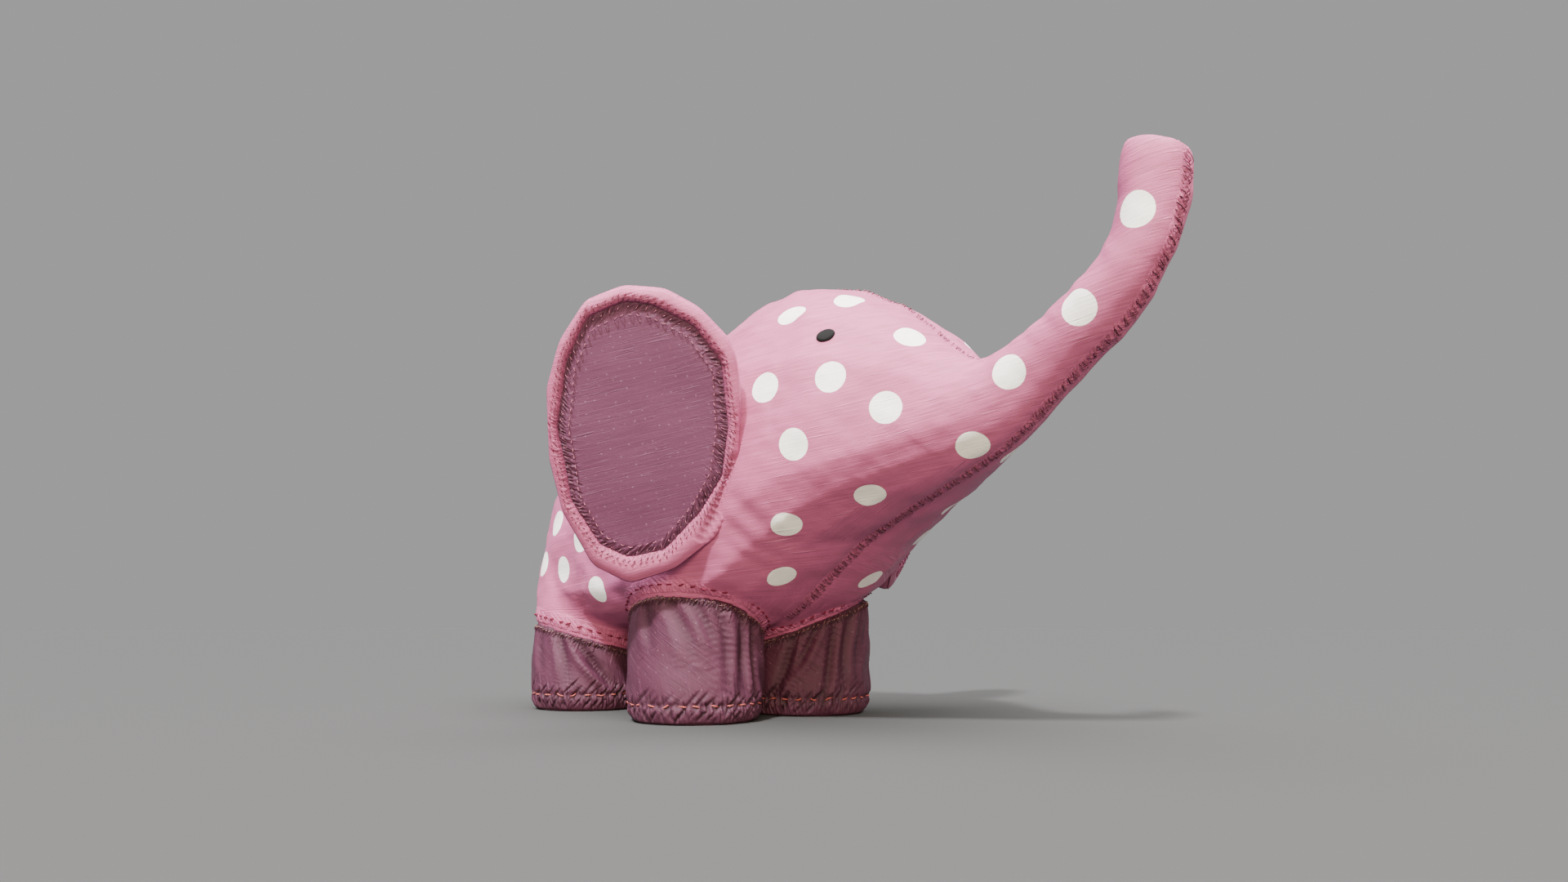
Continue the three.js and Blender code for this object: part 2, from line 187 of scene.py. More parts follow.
def lumps(co, length, seed, terms=9):
    """A smooth random field of about -1 to 1, whose waves have about that length."""
    rng = np.random.default_rng(seed)
    total = 0
    for _ in range(terms):
        direction = unit(rng.normal(size=3)) * rng.uniform(0.6, 1.5) * TURN / length
        total = total + np.sin(co @ direction + rng.uniform(0, TURN))
    return total / math.sqrt(terms)


# ---- puckers, nicks and folds of sewn cloth ----
WANDER_WAVES = (3, 7, 13, 29, 41)  # to a seam's length: they make its puckers uneven


def gathers(around, away, count, reach, slant, seed):
    """Puckers beside a seam: around runs 0 to 1 along it, away is the distance from it."""
    rng = np.random.default_rng(seed)
    wander = sum(rng.uniform(-0.5, 0.5) * np.sin(TURN * (k * around + rng.random())) for k in WANDER_WAVES)
    phase = around * count + wander + slant * away / reach
    cell = np.floor(phase).astype(int) % count
    size = rng.uniform(0.35, 1, count)[cell]
    length = reach * rng.uniform(0.45, 1.5, count)[cell]
    ridge = np.sin(math.pi * (phase - np.floor(phase))) ** 0.8
    return ridge * size * bell(away, length) - 0.5 * bell(away, reach)


def slits(around, away, count, middle, length, slant, seed):
    """Leaf-shaped dents across a seam, 0 to 1 deep: count of them round it, that far from it and leaning."""
    rng = np.random.default_rng(seed)
    phase = around * count + slant * (away - middle) / length
    cell = np.floor(phase).astype(int) % count
    centre = rng.uniform(0.35, 0.65, count)[cell]
    high = (middle + rng.normal(0, 0.25, count) * length)[cell]
    half = (length * rng.uniform(0.5, 1.2, count))[cell]
    wide = rng.uniform(0.11, 0.28, count)[cell]
    deep = rng.uniform(0.3, 1, count)[cell]
    centre = centre + (rng.normal(0, 0.16, count)[cell]) * (away - high) / length
    taper = np.clip(1 - ((away - high) / half) ** 2, 0, 1)
    return deep * taper * bell(phase - np.floor(phase) - centre, wide * (0.4 + 0.6 * taper))


def nicked(around, away, seed, rows):
    """The deepest of some rows of slits: count, middle and length in mm, lean, depth, step of the seed."""
    return np.maximum.reduce([
        depth * slits(around, away, count, middle * MM, length * MM, lean, seed + step)
        for count, middle, length, lean, depth, step in rows
    ])


def valleys(gathered):
    """How deep in a valley between gathers each point lies, 0 to 1."""
    return np.clip(-1.9 * gathered - 0.1, 0, 1)


CURVE_POINTS = 15


def fold(along_a, along_b, start, bend, end, width):
    """A soft valley with a ridge beside it, along a curve through three points of a flattened cloth."""
    t = np.linspace(0, 1, CURVE_POINTS)[:, None]
    start, bend, end = (np.array(p, float) for p in (start, bend, end))
    curve = start * (1 - t) ** 2 + 2 * bend * t * (1 - t) + end * t * t
    direction = unit(np.gradient(curve, axis=0))
    flat = np.stack([along_a, along_b], -1)
    best = np.full(flat.shape[:-1], 1e9)
    side = np.zeros(flat.shape[:-1])
    share = np.zeros(flat.shape[:-1])
    for i, (point, heading) in enumerate(zip(curve, direction)):
        offset = flat - point
        distance = np.linalg.norm(offset, axis=-1)
        nearer = distance < best
        best = np.where(nearer, distance, best)
        across = offset[..., 0] * heading[1] - offset[..., 1] * heading[0]
        side = np.where(nearer, across, side)
        share = np.where(nearer, i / (len(curve) - 1), share)
    off_line = np.sqrt(np.maximum(best ** 2 - side ** 2, 0))
    fade = np.sin(math.pi * np.clip(0.12 + 0.88 * share, 0, 1)) ** 0.7 * bell(off_line, width)
    return fade * (0.7 * bell(side - 1.5 * width, width) - bell(side, width))


# ---- materials ----
THREAD_PITCH = 0.5 * MM  # of the weave
PIN_DOT_PITCH = 4.4 * MM
DOT_RADIUS = 6.5 * MM
DOT_EDGE = 0.3 * MM
DOT_WHITES = ((0.86, 0.845, 0.81), (0.96, 0.955, 0.94))  # between the threads and on them


class Shader:
    """A short way to write a material's nodes."""

    def __init__(self, name):
        self.material = bpy.data.materials.new(name)
        self.material.use_nodes = True
        self.tree = self.material.node_tree
        self.surface = self.tree.nodes["Principled BSDF"].inputs

    def add(self, kind, **settings):
        made = self.tree.nodes.new(kind)
        for name, value in settings.items():
            setattr(made, name, value)
        return made

    def put(self, value, socket):
        if isinstance(value, bpy.types.NodeSocket):
            self.tree.links.new(value, socket)
        else:
            socket.default_value = value

    def math(self, operation, a, b=0.0):
        made = self.add("ShaderNodeMath", operation=operation)
        self.put(a, made.inputs[0])
        self.put(b, made.inputs[1])
        return made.outputs[0]

    def total(self, *parts):
        """The sum of sockets, each times its number."""
        result = 0.0
        for socket, share in parts:
            result = self.math("ADD", result, self.math("MULTIPLY", socket, share))
        return result

    def attribute(self, name, output):
        return self.add("ShaderNodeAttribute", attribute_name=name).outputs[output]

    def along_and_across(self, place):
        made = self.add("ShaderNodeSeparateXYZ")
        self.put(place, made.inputs[0])
        return made.outputs[0], made.outputs[1]

    def noise(self, place, scale, detail):
        """Noise with so many waves to the metre: one number, or one for each axis."""
        stretched = self.add("ShaderNodeVectorMath", operation="MULTIPLY")
        self.put(place, stretched.inputs[0])
        stretched.inputs[1].default_value = scale if isinstance(scale, tuple) else (scale,) * 3
        made = self.add("ShaderNodeTexNoise")
        self.put(stretched.outputs[0], made.inputs["Vector"])
        made.inputs["Scale"].default_value = 1.0
        made.inputs["Detail"].default_value = detail
        return made.outputs["Fac"]

    def between(self, value, low, high):
        made = self.add("ShaderNodeMapRange", interpolation_type="SMOOTHSTEP")
        self.put(value, made.inputs["Value"])
        made.inputs["From Min"].default_value = low
        made.inputs["From Max"].default_value = high
        return made.outputs["Result"]

    def mix(self, share, a, b):
        made = self.add("ShaderNodeMix", data_type="RGBA")
        for value, index in ((share, 0), (a, 6), (b, 7)):
            self.put(value, made.inputs[index])
        return made.outputs[2]

    def tint(self, shade, share, most, colour):
        """Lays a colour over a shade where share is high, at most that much of it."""
        return self.mix(self.math("MULTIPLY", share, most), shade, (*colour, 1))

    def bump(self, height, distance):
        made = self.add("ShaderNodeBump")
        made.inputs["Strength"].default_value = 1.0
        made.inputs["Distance"].default_value = distance
        self.put(height, made.inputs["Height"])
        self.put(made.outputs["Normal"], self.surface["Normal"])


def cloth_material(name, colours, sheen, rough, dots=False, pins=False):
    """A plain weave with slubs along its weft; the attribute cloth is the place on the cut cloth."""
    colour, deep, slub, painted_shade_colour = colours
    s = Shader(name)
    place = s.attribute("cloth", "Vector")
    phases = (s.math("MULTIPLY", way, TURN / THREAD_PITCH) for way in s.along_and_across(place))
    weave = s.math("MULTIPLY", *(s.math("SINE", phase) for phase in phases))
    streak = s.noise(place, (40, 1500, 1), 3)
    thick_threads = s.between(s.noise(place, (42, 1000, 1), 2), 0.62, 0.76)
    thin_lines = s.between(s.noise(place, (50, 1500, 2), 1), 0.64, 0.72)
    cloud = s.between(s.noise(place, 28, 3), 0.35, 0.75)
    speck = s.between(s.noise(place, 900, 1), 0.66, 0.8)
    shade = s.mix(s.between(streak, 0.3, 0.72), (*deep, 1), (*colour, 1))
    for share, most, over in (
        (thick_threads, 0.35, slub), (thin_lines, 0.75, deep), (cloud, 0.22, deep),
        (s.between(weave, -1, 1), 0.08, slub), (speck, 0.25, slub),
    ):
        shade = s.tint(shade, share, most, over)
    if dots:
        ragged = s.math("MULTIPLY", s.noise(place, 1500, 1), 0.35 * MM)
        edge = s.math("ADD", s.attribute("dot", "Fac"), ragged)
        white = s.tint((*DOT_WHITES[0], 1), s.between(streak, 0.3, 0.7), 0.5, DOT_WHITES[1])
        shade = s.mix(s.between(edge, DOT_RADIUS + DOT_EDGE, DOT_RADIUS), shade, white)
    if pins:
        cells = s.add("ShaderNodeTexVoronoi", voronoi_dimensions="2D")
        s.put(place, cells.inputs["Vector"])
        cells.inputs["Scale"].default_value = 1 / PIN_DOT_PITCH
        cells.inputs["Randomness"].default_value = 0.4
        pin = s.between(cells.outputs["Distance"], 0.10, 0.055)
        pin = s.math("MULTIPLY", pin, s.between(s.noise(place, 260, 1), 0.4, 0.62))
        shade = s.tint(shade, pin, 0.7, slub)
    # Painted shade: where the attribute fold is high (in valleys, dents and under edges), the colour darkens
    # towards painted_shade_colour.
    s.put(s.tint(shade, s.attribute("fold", "Fac"), 0.85, painted_shade_colour), s.surface["Base Color"])
    s.put(s.between(streak, -0.6, 1.6), s.surface["Roughness"])
    s.surface["Sheen Weight"].default_value = sheen
    s.surface["Sheen Tint"].default_value = (*slub, 1)
    s.surface["Sheen Roughness"].default_value = 0.45
    s.surface["Specular IOR Level"].default_value = 0.25
    s.bump(s.total((weave, 0.22), (streak, rough), (thick_threads, 0.7), (thin_lines, -0.55)), 0.2 * MM)
    return s.material


def fibre_material(name, colour, deep, scale, twist=0.0):
    """Thread, yarn or felt: fine fibres, with a twist of that many radians to the metre."""
    s = Shader(name)
    place = s.attribute("cloth", "Vector")
    fibres = s.noise(place, scale, 3)
    height = fibres
    if twist:
        ply = s.math("SINE", s.math("MULTIPLY", s.math("ADD", *s.along_and_across(place)), twist))
        height = s.total((ply, 0.5), (fibres, 1.0))
    s.put(s.mix(s.between(height, 0.1, 0.9), (*deep, 1), (*colour, 1)), s.surface["Base Color"])
    s.put(s.between(fibres, -1.5, 1.1), s.surface["Roughness"])
    s.surface["Sheen Weight"].default_value = 0.1
    s.surface["Sheen Tint"].default_value = (*colour, 1)
    s.surface["Specular IOR Level"].default_value = 0.2
    s.bump(height, 0.12 * MM)
    return s.material


# The colours of a cloth: its threads, the shade between them, its slubs, and the painted shade at the bottom
# of its folds.
PINKS = ((0.455, 0.103, 0.234), (0.335, 0.079, 0.166), (0.58, 0.21, 0.365), (0.09, 0.021, 0.038))
PLUMS = ((0.078, 0.021, 0.045), (0.056, 0.0145, 0.032), (0.16, 0.07, 0.108), (0.010, 0.0025, 0.005))
# The ear lining is the same plum cloth as the sleeves, painted lighter and a little bluer: painted light on
# the lining.
LINING_PLUMS_PAINTED_LIGHTER = ((0.140, 0.042, 0.093), (0.108, 0.031, 0.071), (0.24, 0.115, 0.195), (0.016, 0.004, 0.009))
PINK = cloth_material("pink_dotted_cloth", PINKS, 0.12, 0.8, dots=True)
PLAIN_PINK = cloth_material("pink_cloth", PINKS, 0.12, 0.8)
PLUM = cloth_material("plum_cloth", PLUMS, 0.05, 0.45, pins=True)
# The ear lining's material: the plum cloth painted lighter, as painted light.
LINING_PAINTED_LIGHTER = cloth_material("ear_lining_cloth", LINING_PLUMS_PAINTED_LIGHTER, 0.05, 0.45, pins=True)
CRIMSON, SALMON, BEIGE, ROSE, WINE = (
    fibre_material(f"{name}_thread", colour, deep, 2200, 9000)
    for name, colour, deep in (
        ("crimson", (0.19, 0.014, 0.045), (0.09, 0.006, 0.018)),
        ("salmon", (0.42, 0.11, 0.095), (0.22, 0.04, 0.038)),
        ("beige", (0.30, 0.17, 0.145), (0.14, 0.06, 0.055)),
        ("rose", (0.40, 0.15, 0.21), (0.2, 0.05, 0.085)),
        ("wine", (0.085, 0.024, 0.044), (0.035, 0.008, 0.016)),
    )
)
FELT = fibre_material("charcoal_felt", (0.0065, 0.007, 0.0072), (0.0025, 0.0027, 0.0028), 2600)
YARN = fibre_material("plum_yarn", (0.14, 0.045, 0.072), (0.06, 0.016, 0.03), 1500, 5200)


def finish_piece(obj, material, body, nodes=()):
    """Gives a piece its material; body is one name, whose empty the piece then hangs from, or two with the
    bend between them, for which only its transform is baked.
    """
    obj.data.materials.clear()
    obj.data.materials.append(material)
    if nodes:
        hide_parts(*nodes)
    if isinstance(body, str):
        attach(obj, body)
    else:
        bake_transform(obj)
    return obj


# ---- the pink body: stuffing, remeshed, inflated as cloth and smoothed ----
VOXEL = 4.5 * MM
SHRINK = 0.6 * MM  # the cloth starts this much inside its face
SWELL_PRESSURE = 4
SWELL_FRAMES = 20
SWELL_CAP = 5 * MM
RELAX_SHARE = 0.5
RELAX_BACK = 1.04  # of the share, which keeps the volume
FACET_DEPTH = 0.7 * MM  # of the flat facets that the stuffing's round sides are made of
LEG_NAMES = [f"{end}_{side}" for end in LEG_ENDS for side in SIDES]
STUFFING = ["torso_stuffing", "trunk_stuffing"] + [f"leg_stuffing_{tag}" for tag in LEG_NAMES]


def joined_copy(name, nodes):
    co, faces, start = [], [], 0
    for part in nodes:
        obj = frame["nodes"][part]
        co.append(points_of(obj))
        faces += [[start + i for i in polygon.vertices] for polygon in obj.data.polygons]
        start += len(co[-1])
    return new_piece(name, np.concatenate(co), faces)


def keep_largest(obj):
    """Drops every loose island but the largest."""
    mesh = bmesh.new()
    mesh.from_mesh(obj.data)
    left, islands = set(mesh.verts), []
    while left:
        island, edge = set(), {left.pop()}
        while edge:
            island |= edge
            edge = {e.other_vert(v) for v in edge for e in v.link_edges} - island
        left -= island
        islands.append(island)
    largest = max(islands, key=len)
    bmesh.ops.delete(mesh, geom=[v for v in mesh.verts if v not in largest], context="VERTS")
    mesh.to_mesh(obj.data)
    mesh.free()


def relax(obj, turns):
    """Moves each point towards the mean of its neighbours and back again, which smooths it."""
    a, b = edges_of(obj)
    co = points_of(obj)
    degree = np.bincount(np.concatenate([a, b]), minlength=len(co))[:, None]
    for step in range(2 * turns):
        mean = np.zeros_like(co)
        np.add.at(mean, a, co[b])
        np.add.at(mean, b, co[a])
        co += (mean / degree - co) * RELAX_SHARE * (1 if step % 2 == 0 else -RELAX_BACK)
    move_points(obj, co)


def edge_plane(tag):
    """The plane of a sleeve's upper edge as (height at the origin, slope along x, slope along y)."""
    co = points_of(frame["nodes"][f"sleeve_stitching_{tag}"])
    return np.linalg.lstsq(np.c_[np.ones(len(co)), co[:, :2]], co[:, 2], rcond=None)[0]


def leg_of(tag):
    low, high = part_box(f"sole_{tag}")
    middle = (low + high) / 2
    radius = (high.x - low.x) / 2 + FOOT_INSET
    return {"tag": tag, "x": middle.x, "y": middle.y, "radius": radius, "plane": edge_plane(tag)}


legs = [leg_of(tag) for tag in LEG_NAMES]


def above_sleeve(co, leg):
    """How far a point is above the sleeve's edge plane, and its distance from the leg's axis."""
    height, slope_x, slope_y = leg["plane"]
    square = math.sqrt(1 + slope_x ** 2 + slope_y ** 2)
    above = (co[..., 2] - height - slope_x * co[..., 0] - slope_y * co[..., 1]) / square
    return above, np.hypot(co[..., 0] - leg["x"], co[..., 1] - leg["y"])


def held_points(co):
    """The points that stay in place while the cloth swells: along the middle seam and inside the sleeves."""
    held = np.abs(co[:, 0]) < 3 * MM
    for leg in legs:
        above, from_axis = above_sleeve(co, leg)
        held |= (above < 3 * MM) & (from_axis < SLEEVE_REACH + 4 * MM)
    return held


def inflate(obj):
    """Blows the cloth up from inside, with some points held, and limits how far a point may move."""
    start = points_of(obj)
    group = obj.vertex_groups.new(name="held")
    group.add(np.flatnonzero(held_points(start)).tolist(), 1.0, "REPLACE")
    modifier = obj.modifiers.new("cloth", "CLOTH")
    settings = modifier.settings
    settings.vertex_group_mass = "held"
    settings.use_pressure = True
    settings.uniform_pressure_force = SWELL_PRESSURE
    settings.effector_weights.gravity = 0
    for number in range(1, SWELL_FRAMES + 1):
        bpy.context.scene.frame_set(number)
    apply_modifiers(obj)
    bpy.context.scene.frame_set(1)
    moved = points_of(obj) - start
    length = np.linalg.norm(moved, axis=1, keepdims=True)
    move_points(obj, start + moved * np.minimum(1, SWELL_CAP / np.maximum(length, 1e-9)))
    obj.vertex_groups.clear()


def fill_out(obj, core):
    """Moves the cloth out wherever smoothing left it nearer to the stuffing than its own thickness."""
    co, normal = points_of(obj), normals_of(obj)
    place, facing = nearest(core, co)
    height = np.einsum("ij,ij->i", co - place, facing)
    short = np.clip(SKIN_AND_GAP - FACET_DEPTH - height, 0, 8 * MM)
    a, b = edges_of(obj)
    degree = np.bincount(np.concatenate([a, b]), minlength=len(co))
    for _ in range(6):
        total = np.bincount(a, short[b], len(co)) + np.bincount(b, short[a], len(co))
        short = total / degree
    move_points(obj, co + normal * short[:, None])


def make_body():
    obj = joined_copy("body_cloth", STUFFING)
    core = tree_of(obj)
    modifier = obj.modifiers.new("voxels", "REMESH")
    modifier.mode = "VOXEL"
    modifier.voxel_size = VOXEL
    apply_modifiers(obj)
    keep_largest(obj)
    relax(obj, 6)
    move_points(obj, points_of(obj) + normals_of(obj) * (SKIN_AND_GAP - SHRINK))
    inflate(obj)
    modifier = obj.modifiers.new("smooth", "SUBSURF")
    modifier.levels = modifier.render_levels = 2
    apply_modifiers(obj)
    for _ in range(2):
        fill_out(obj, core)
    relax(obj, 8)
    return obj


body = make_body()
form = tree_of(body)
form_points, form_normals = points_of(body), normals_of(body)

# Creases in the pink cloth: start, bend, end as (y, z) on the side of the body, width and depth, all in mm.
CREASES = [
    ((-6, 97), (-17, 84), (-21, 66), 3.4, 0.8),
    ((0, 86), (-9, 74), (-14, 60), 2.8, 0.8),
    ((0, 74), (-6, 66), (-8, 56), 2.4, 0.7),
    ((-36, 136), (-28, 150), (-30, 172), 2.6, 0.5),
    ((-30, 118), (-27, 132), (-33, 150), 2.2, 0.5),
    ((-24, 76), (-50, 92), (-84, 112), 4.5, 0.9),
    ((10, 70), (24, 62), (40, 62), 3.0, 0.8),
    ((52, 66), (70, 60), (92, 74), 3.2, 0.9),
    ((70, 56), (90, 62), (104, 84), 3.4, 1.0),
    ((112, 44), (104, 62), (96, 86), 3.0, 1.1),
    ((118, 42), (112, 58), (110, 74), 2.4, 0.9),
    ((126, 44), (134, 58), (136, 76), 3.0, 0.5),
    ((150, 50), (154, 66), (152, 84), 2.6, 0.4),
    ((-117, 150), (-122, 146), (-128, 139), 1.8, 0.5),
    ((-126, 155), (-131, 150), (-138, 144), 1.8, 0.6),
    ((-135, 163), (-141, 158), (-146, 150), 2.0, 0.55),
    ((-146, 175), (-152, 170), (-158, 163), 2.0, 0.6),
    ((-100, 145), (-104, 138), (-112, 131), 2.2, 0.4),
]
CREASE_DEPTH, CREASE_WIDTH = 0.6, 1.3  # shares of the table's measures
SEAM_GROOVE, SEAM_GROOVE_WIDTH = 0.9 * MM, 4.5 * MM
EDGE_GROOVE, EDGE_GROOVE_WIDTH = 1.1 * MM, 2.6 * MM
CROWN = np.array((0, -42, 182)) * MM
CROWN_RISE, CROWN_WIDTH = 1.8 * MM, 26 * MM


def body_shift(co, normal):
    """How far the pink cloth's face stands off the inflated form: grooves at its seams, creases and lumps."""
    shift = 0.35 * MM * lumps(co, 34 * MM, 11) + 0.12 * MM * lumps(co, 11 * MM, 12)
    shift = shift - SEAM_GROOVE * bell(co[..., 0], SEAM_GROOVE_WIDTH)
    shift = shift + CROWN_RISE * bell(np.linalg.norm(co - CROWN, axis=-1), CROWN_WIDTH)
    for leg in legs:
        above, from_axis = above_sleeve(co, leg)
        near = (from_axis < SLEEVE_REACH + 12 * MM) & (above > -8 * MM)
        shift -= near * EDGE_GROOVE * bell(above, EDGE_GROOVE_WIDTH)
    on_side = rise(np.abs(normal[..., 0]), 0.15, 0.5)
    y, z = co[..., 1] / MM, co[..., 2] / MM
    for start, bend, end, width, depth in CREASES:
        shift += CREASE_DEPTH * depth * on_side * MM * fold(y, z, start, bend, end, CREASE_WIDTH * width)
    return shift


def lifted(place, normal, lift):
    """Points of the inflated form moved out to that far above the face of the pink cloth."""
    return place + normal * (body_shift(place, normal) + lift)[..., None]


# Dots on the right side (x, y, z), which the left side repeats.
DOTS = np.array([
    (-39.5, -24, 172), (-22.6, -42, 177), (-20.5, -74, 155), (-54, -25, 137), (-44, -53, 138),
    (-34, -73, 124), (-50, -38, 112.5), (-12.5, -97, 108.5), (-16, -117, 133), (-13.6, -146, 151),
    (-12.4, -169, 180.5), (-25, -55, 93), (-41, -23, 83), (-27, -4, 62), (-60, 134, 93),
    (-61, 124, 69), (-61, 90, 58), (-59, 148, 73), (-63, 104, 83), (-54, 138, 116),
]) * MM
DOT_SPACING = 27 * MM
DOT_CANDIDATES = 6000


def all_dots():
    """The dots above and, over the rest of the side, more of them scattered at the same spacing."""
    rng = np.random.default_rng(7)
    dots = list(nearest(form, DOTS)[0])
    for point in form_points[rng.permutation(len(form_points))[:DOT_CANDIDATES]]:
        x, y, z = point / MM
        unseen = (y > 12 and z > 76) or y > 160  # behind the ear and over the rump
        if x < -9 and unseen and min(np.linalg.norm(point - dot) for dot in dots) > DOT_SPACING:
            dots.append(point)
    return np.array(dots)


dots = all_dots()


def dot_distance(co):
    """How far each point is from the middle of the nearest dot of its side."""
    on_right = co.copy()
    on_right[..., 0] = -np.abs(on_right[..., 0])
    distance = np.full(co.shape[:-1], 1.0)
    for dot in dots:
        distance = np.minimum(distance, np.linalg.norm(on_right - dot, axis=-1))
    return distance


WEFT_TILT = math.radians(9)
WEFT_MIDDLE = 40 * MM  # along y: there the weft runs straight back,
WEFT_ROUND = 110 * MM  # and this far from there it runs fully round the face or the rump
OTHER_CUT = 0.5  # metres further along the same cloth, for what faces up or down


def cut_cloth_place(obj, co, normal):
    """Stores where face corners lie on the cut cloth, whose weft runs round the body from the face back."""
    corners = read(obj.data.loops, "vertex_index")
    totals = read(obj.data.polygons, "loop_total")
    face = np.repeat(np.arange(len(totals)), totals)
    facing = np.zeros((len(totals), 3))
    np.add.at(facing, face, np.abs(normal[corners]))
    flat = (unit(facing)[:, 2] > 0.86)[face]
    x, y, z = co[corners].T
    run = y + np.clip((WEFT_MIDDLE - y) / WEFT_ROUND, -1, 1) * np.abs(x)
    along = np.where(flat, y, run * math.cos(WEFT_TILT) - z * math.sin(WEFT_TILT))
    across = np.where(flat, x + OTHER_CUT, z * math.cos(WEFT_TILT) + run * math.sin(WEFT_TILT))
    store(obj, corners=True, cloth=np.stack([along, across, 0 * x], -1))


def shape_body():
    co, normal = form_points, form_normals
    shift = body_shift(co, normal)
    for leg in legs:
        above, from_axis = above_sleeve(co, leg)
        inside = (from_axis < SLEEVE_REACH + 3 * MM) & (above < 0)
        shift -= inside * 3.5 * MM * rise(-above, 0.3 * MM, 3 * MM)
    store(body, dot=dot_distance(co))
    cut_cloth_place(body, co, normal)
    move_points(body, co + normal * shift[:, None])
    nodes = ["side_panel_right", "side_panel_left", "belly_panel", "trunk_panel_right", "trunk_panel_left",
             "torso_stuffing", "trunk_stuffing"]
    finish_piece(body, PINK, TRUNK_BLEND, nodes)


shape_body()

# ---- thread: every stitch is a short tube ----
TUBE_SIDES = 6
STITCH_STEPS = 6


def tubes(name, paths, radii, facing):
    """Closed tubes round many paths of equal length (count x points x 3); facing is across each path."""
    paths = np.asarray(paths, float)
    count, steps = paths.shape[:2]
    radii = np.broadcast_to(radii, (count, steps))
    along = unit(np.gradient(paths, axis=1))
    side = unit(np.cross(along, np.broadcast_to(facing, (count, 3))[:, None]))
    up = np.cross(side, along)
    angle = circle(TUBE_SIDES)
    ring = side[:, :, None] * np.cos(angle)[:, None] + up[:, :, None] * np.sin(angle)[:, None]
    co = paths[:, :, None] + ring * radii[:, :, None, None]
    one = np.array(grid_faces(steps, TUBE_SIDES, closed=True))
    first = np.arange(count)[:, None] * steps * TUBE_SIDES
    quads = (one[None] + first[:, :, None]).reshape(-1, 4).tolist()
    last = first + (steps - 1) * TUBE_SIDES
    lids = (first + np.arange(TUBE_SIDES)[::-1]).tolist() + (last + np.arange(TUBE_SIDES)).tolist()
    obj = new_piece(name, co, quads + lids)
    length = np.cumsum(np.linalg.norm(np.diff(paths, axis=1, prepend=paths[:, :1]), axis=-1), axis=1)
    round_it = np.broadcast_to(radii.mean() * angle, (count, steps, TUBE_SIDES))
    store(obj, cloth=np.stack(np.broadcast_arrays(length[:, :, None], round_it, 0 * round_it), -1))
    return obj


def stitches(name, start, end, normal, thick, lift):
    """Stitches from start to end that arch out of the cloth and dive back into it."""
    t = np.linspace(0, 1, STITCH_STEPS)[None, :, None]
    arch = np.sin(math.pi * t) * (lift + thick) - thick
    paths = start[:, None] * (1 - t) + end[:, None] * t + normal[:, None] * arch
    return tubes(name, paths, thick * (0.7 + 0.3 * np.sin(math.pi * t[..., 0])), normal)


def row_of_stitches(name, line, normal, sizes, material, body, seed):
    """A running stitch along a closed line; sizes are its pitch, length, lean, thickness and lift in mm."""
    pitch, length, lean, thick, lift = np.array(sizes) * MM
    rng = np.random.default_rng(seed)
    loop = np.concatenate([line, line[:1]])
    run = np.concatenate([[0], np.cumsum(np.linalg.norm(np.diff(loop, axis=0), axis=1))])
    count = round(run[-1] / pitch)
    middle = (np.arange(count) + rng.uniform(-0.14, 0.14, count)) / count * run[-1]
    half = length / 2 * rng.uniform(0.75, 1.15, count)

    def at(where, values):
        return np.stack([np.interp(where % run[-1], run, values[:, k]) for k in range(3)], -1)

    start, end = at(middle - half, loop), at(middle + half, loop)
    out = unit(at(middle, np.concatenate([normal, normal[:1]])))
    across = unit(np.cross(out, end - start))
    tilt = (lean * rng.uniform(0.5, 1.4, count) + rng.normal(0, 0.08, count) * length)[:, None]
    obj = stitches(name, start - across * tilt, end + across * tilt, out, thick, lift)
    return finish_piece(obj, material, body)


# ---- seams along the middle ----
WELT_PITCH = 0.32 * MM
WELT_HALF = 4.6 * MM
WELT_HEIGHT = 0.75 * MM
WELT_ROWS = 29


def middle_line(obj):
    """The loop where the middle plane cuts the body, as (y, z) points in order."""
    mesh = bmesh.new()
    mesh.from_mesh(obj.data)
    everything = mesh.verts[:] + mesh.edges[:] + mesh.faces[:]
    cut = bmesh.ops.bisect_plane(mesh, geom=everything, plane_co=(1e-6, 0, 0), plane_no=(1, 0, 0))
    beside = {}
    for edge in (item for item in cut["geom_cut"] if isinstance(item, bmesh.types.BMEdge)):
        for vert in edge.verts:
            beside.setdefault(vert, []).append(edge.other_vert(vert))
    start = max(beside, key=lambda vert: vert.co.z)
    loop, before = [start], None
    while len(loop) < len(beside):
        here = loop[-1]
        following = [vert for vert in beside[here] if vert is not before]
        before = here
        if not following or following[0] is start:
            break
        loop.append(following[0])
    line = np.array([(vert.co.y, vert.co.z) for vert in loop])
    mesh.free()
    return line


def evenly(line, pitch):
    """The same open line with its points a pitch apart."""
    run = np.concatenate([[0], np.cumsum(np.linalg.norm(np.diff(line, axis=0), axis=1))])
    at = np.linspace(0, run[-1], max(2, round(run[-1] / pitch) + 1))
    return np.stack([np.interp(at, run, line[:, k]) for k in range(line.shape[1])], -1)


def seam_lines():
    """The lower seam from the trunk's tip to behind the chest, and the upper one from there to the tail."""
    loop = middle_line(body)
    tip = int(np.argmax(loop[:, 1] - 0.9 * loop[:, 0]))
    loop = np.roll(loop, -tip, axis=0)
    if loop[len(loop) // 8, 1] > loop[-len(loop) // 8, 1]:
        loop = np.roll(loop[::-1], 1, axis=0)
    chest = np.flatnonzero((loop[:, 0] > 22 * MM) & (loop[:, 1] < 70 * MM))[0]
    tail = np.flatnonzero((loop[:, 0] > 160 * MM) & (loop[:, 1] > 104 * MM))[0]
    return evenly(loop[: chest + 1], WELT_PITCH), evenly(loop[tail:][::-1], WELT_PITCH)


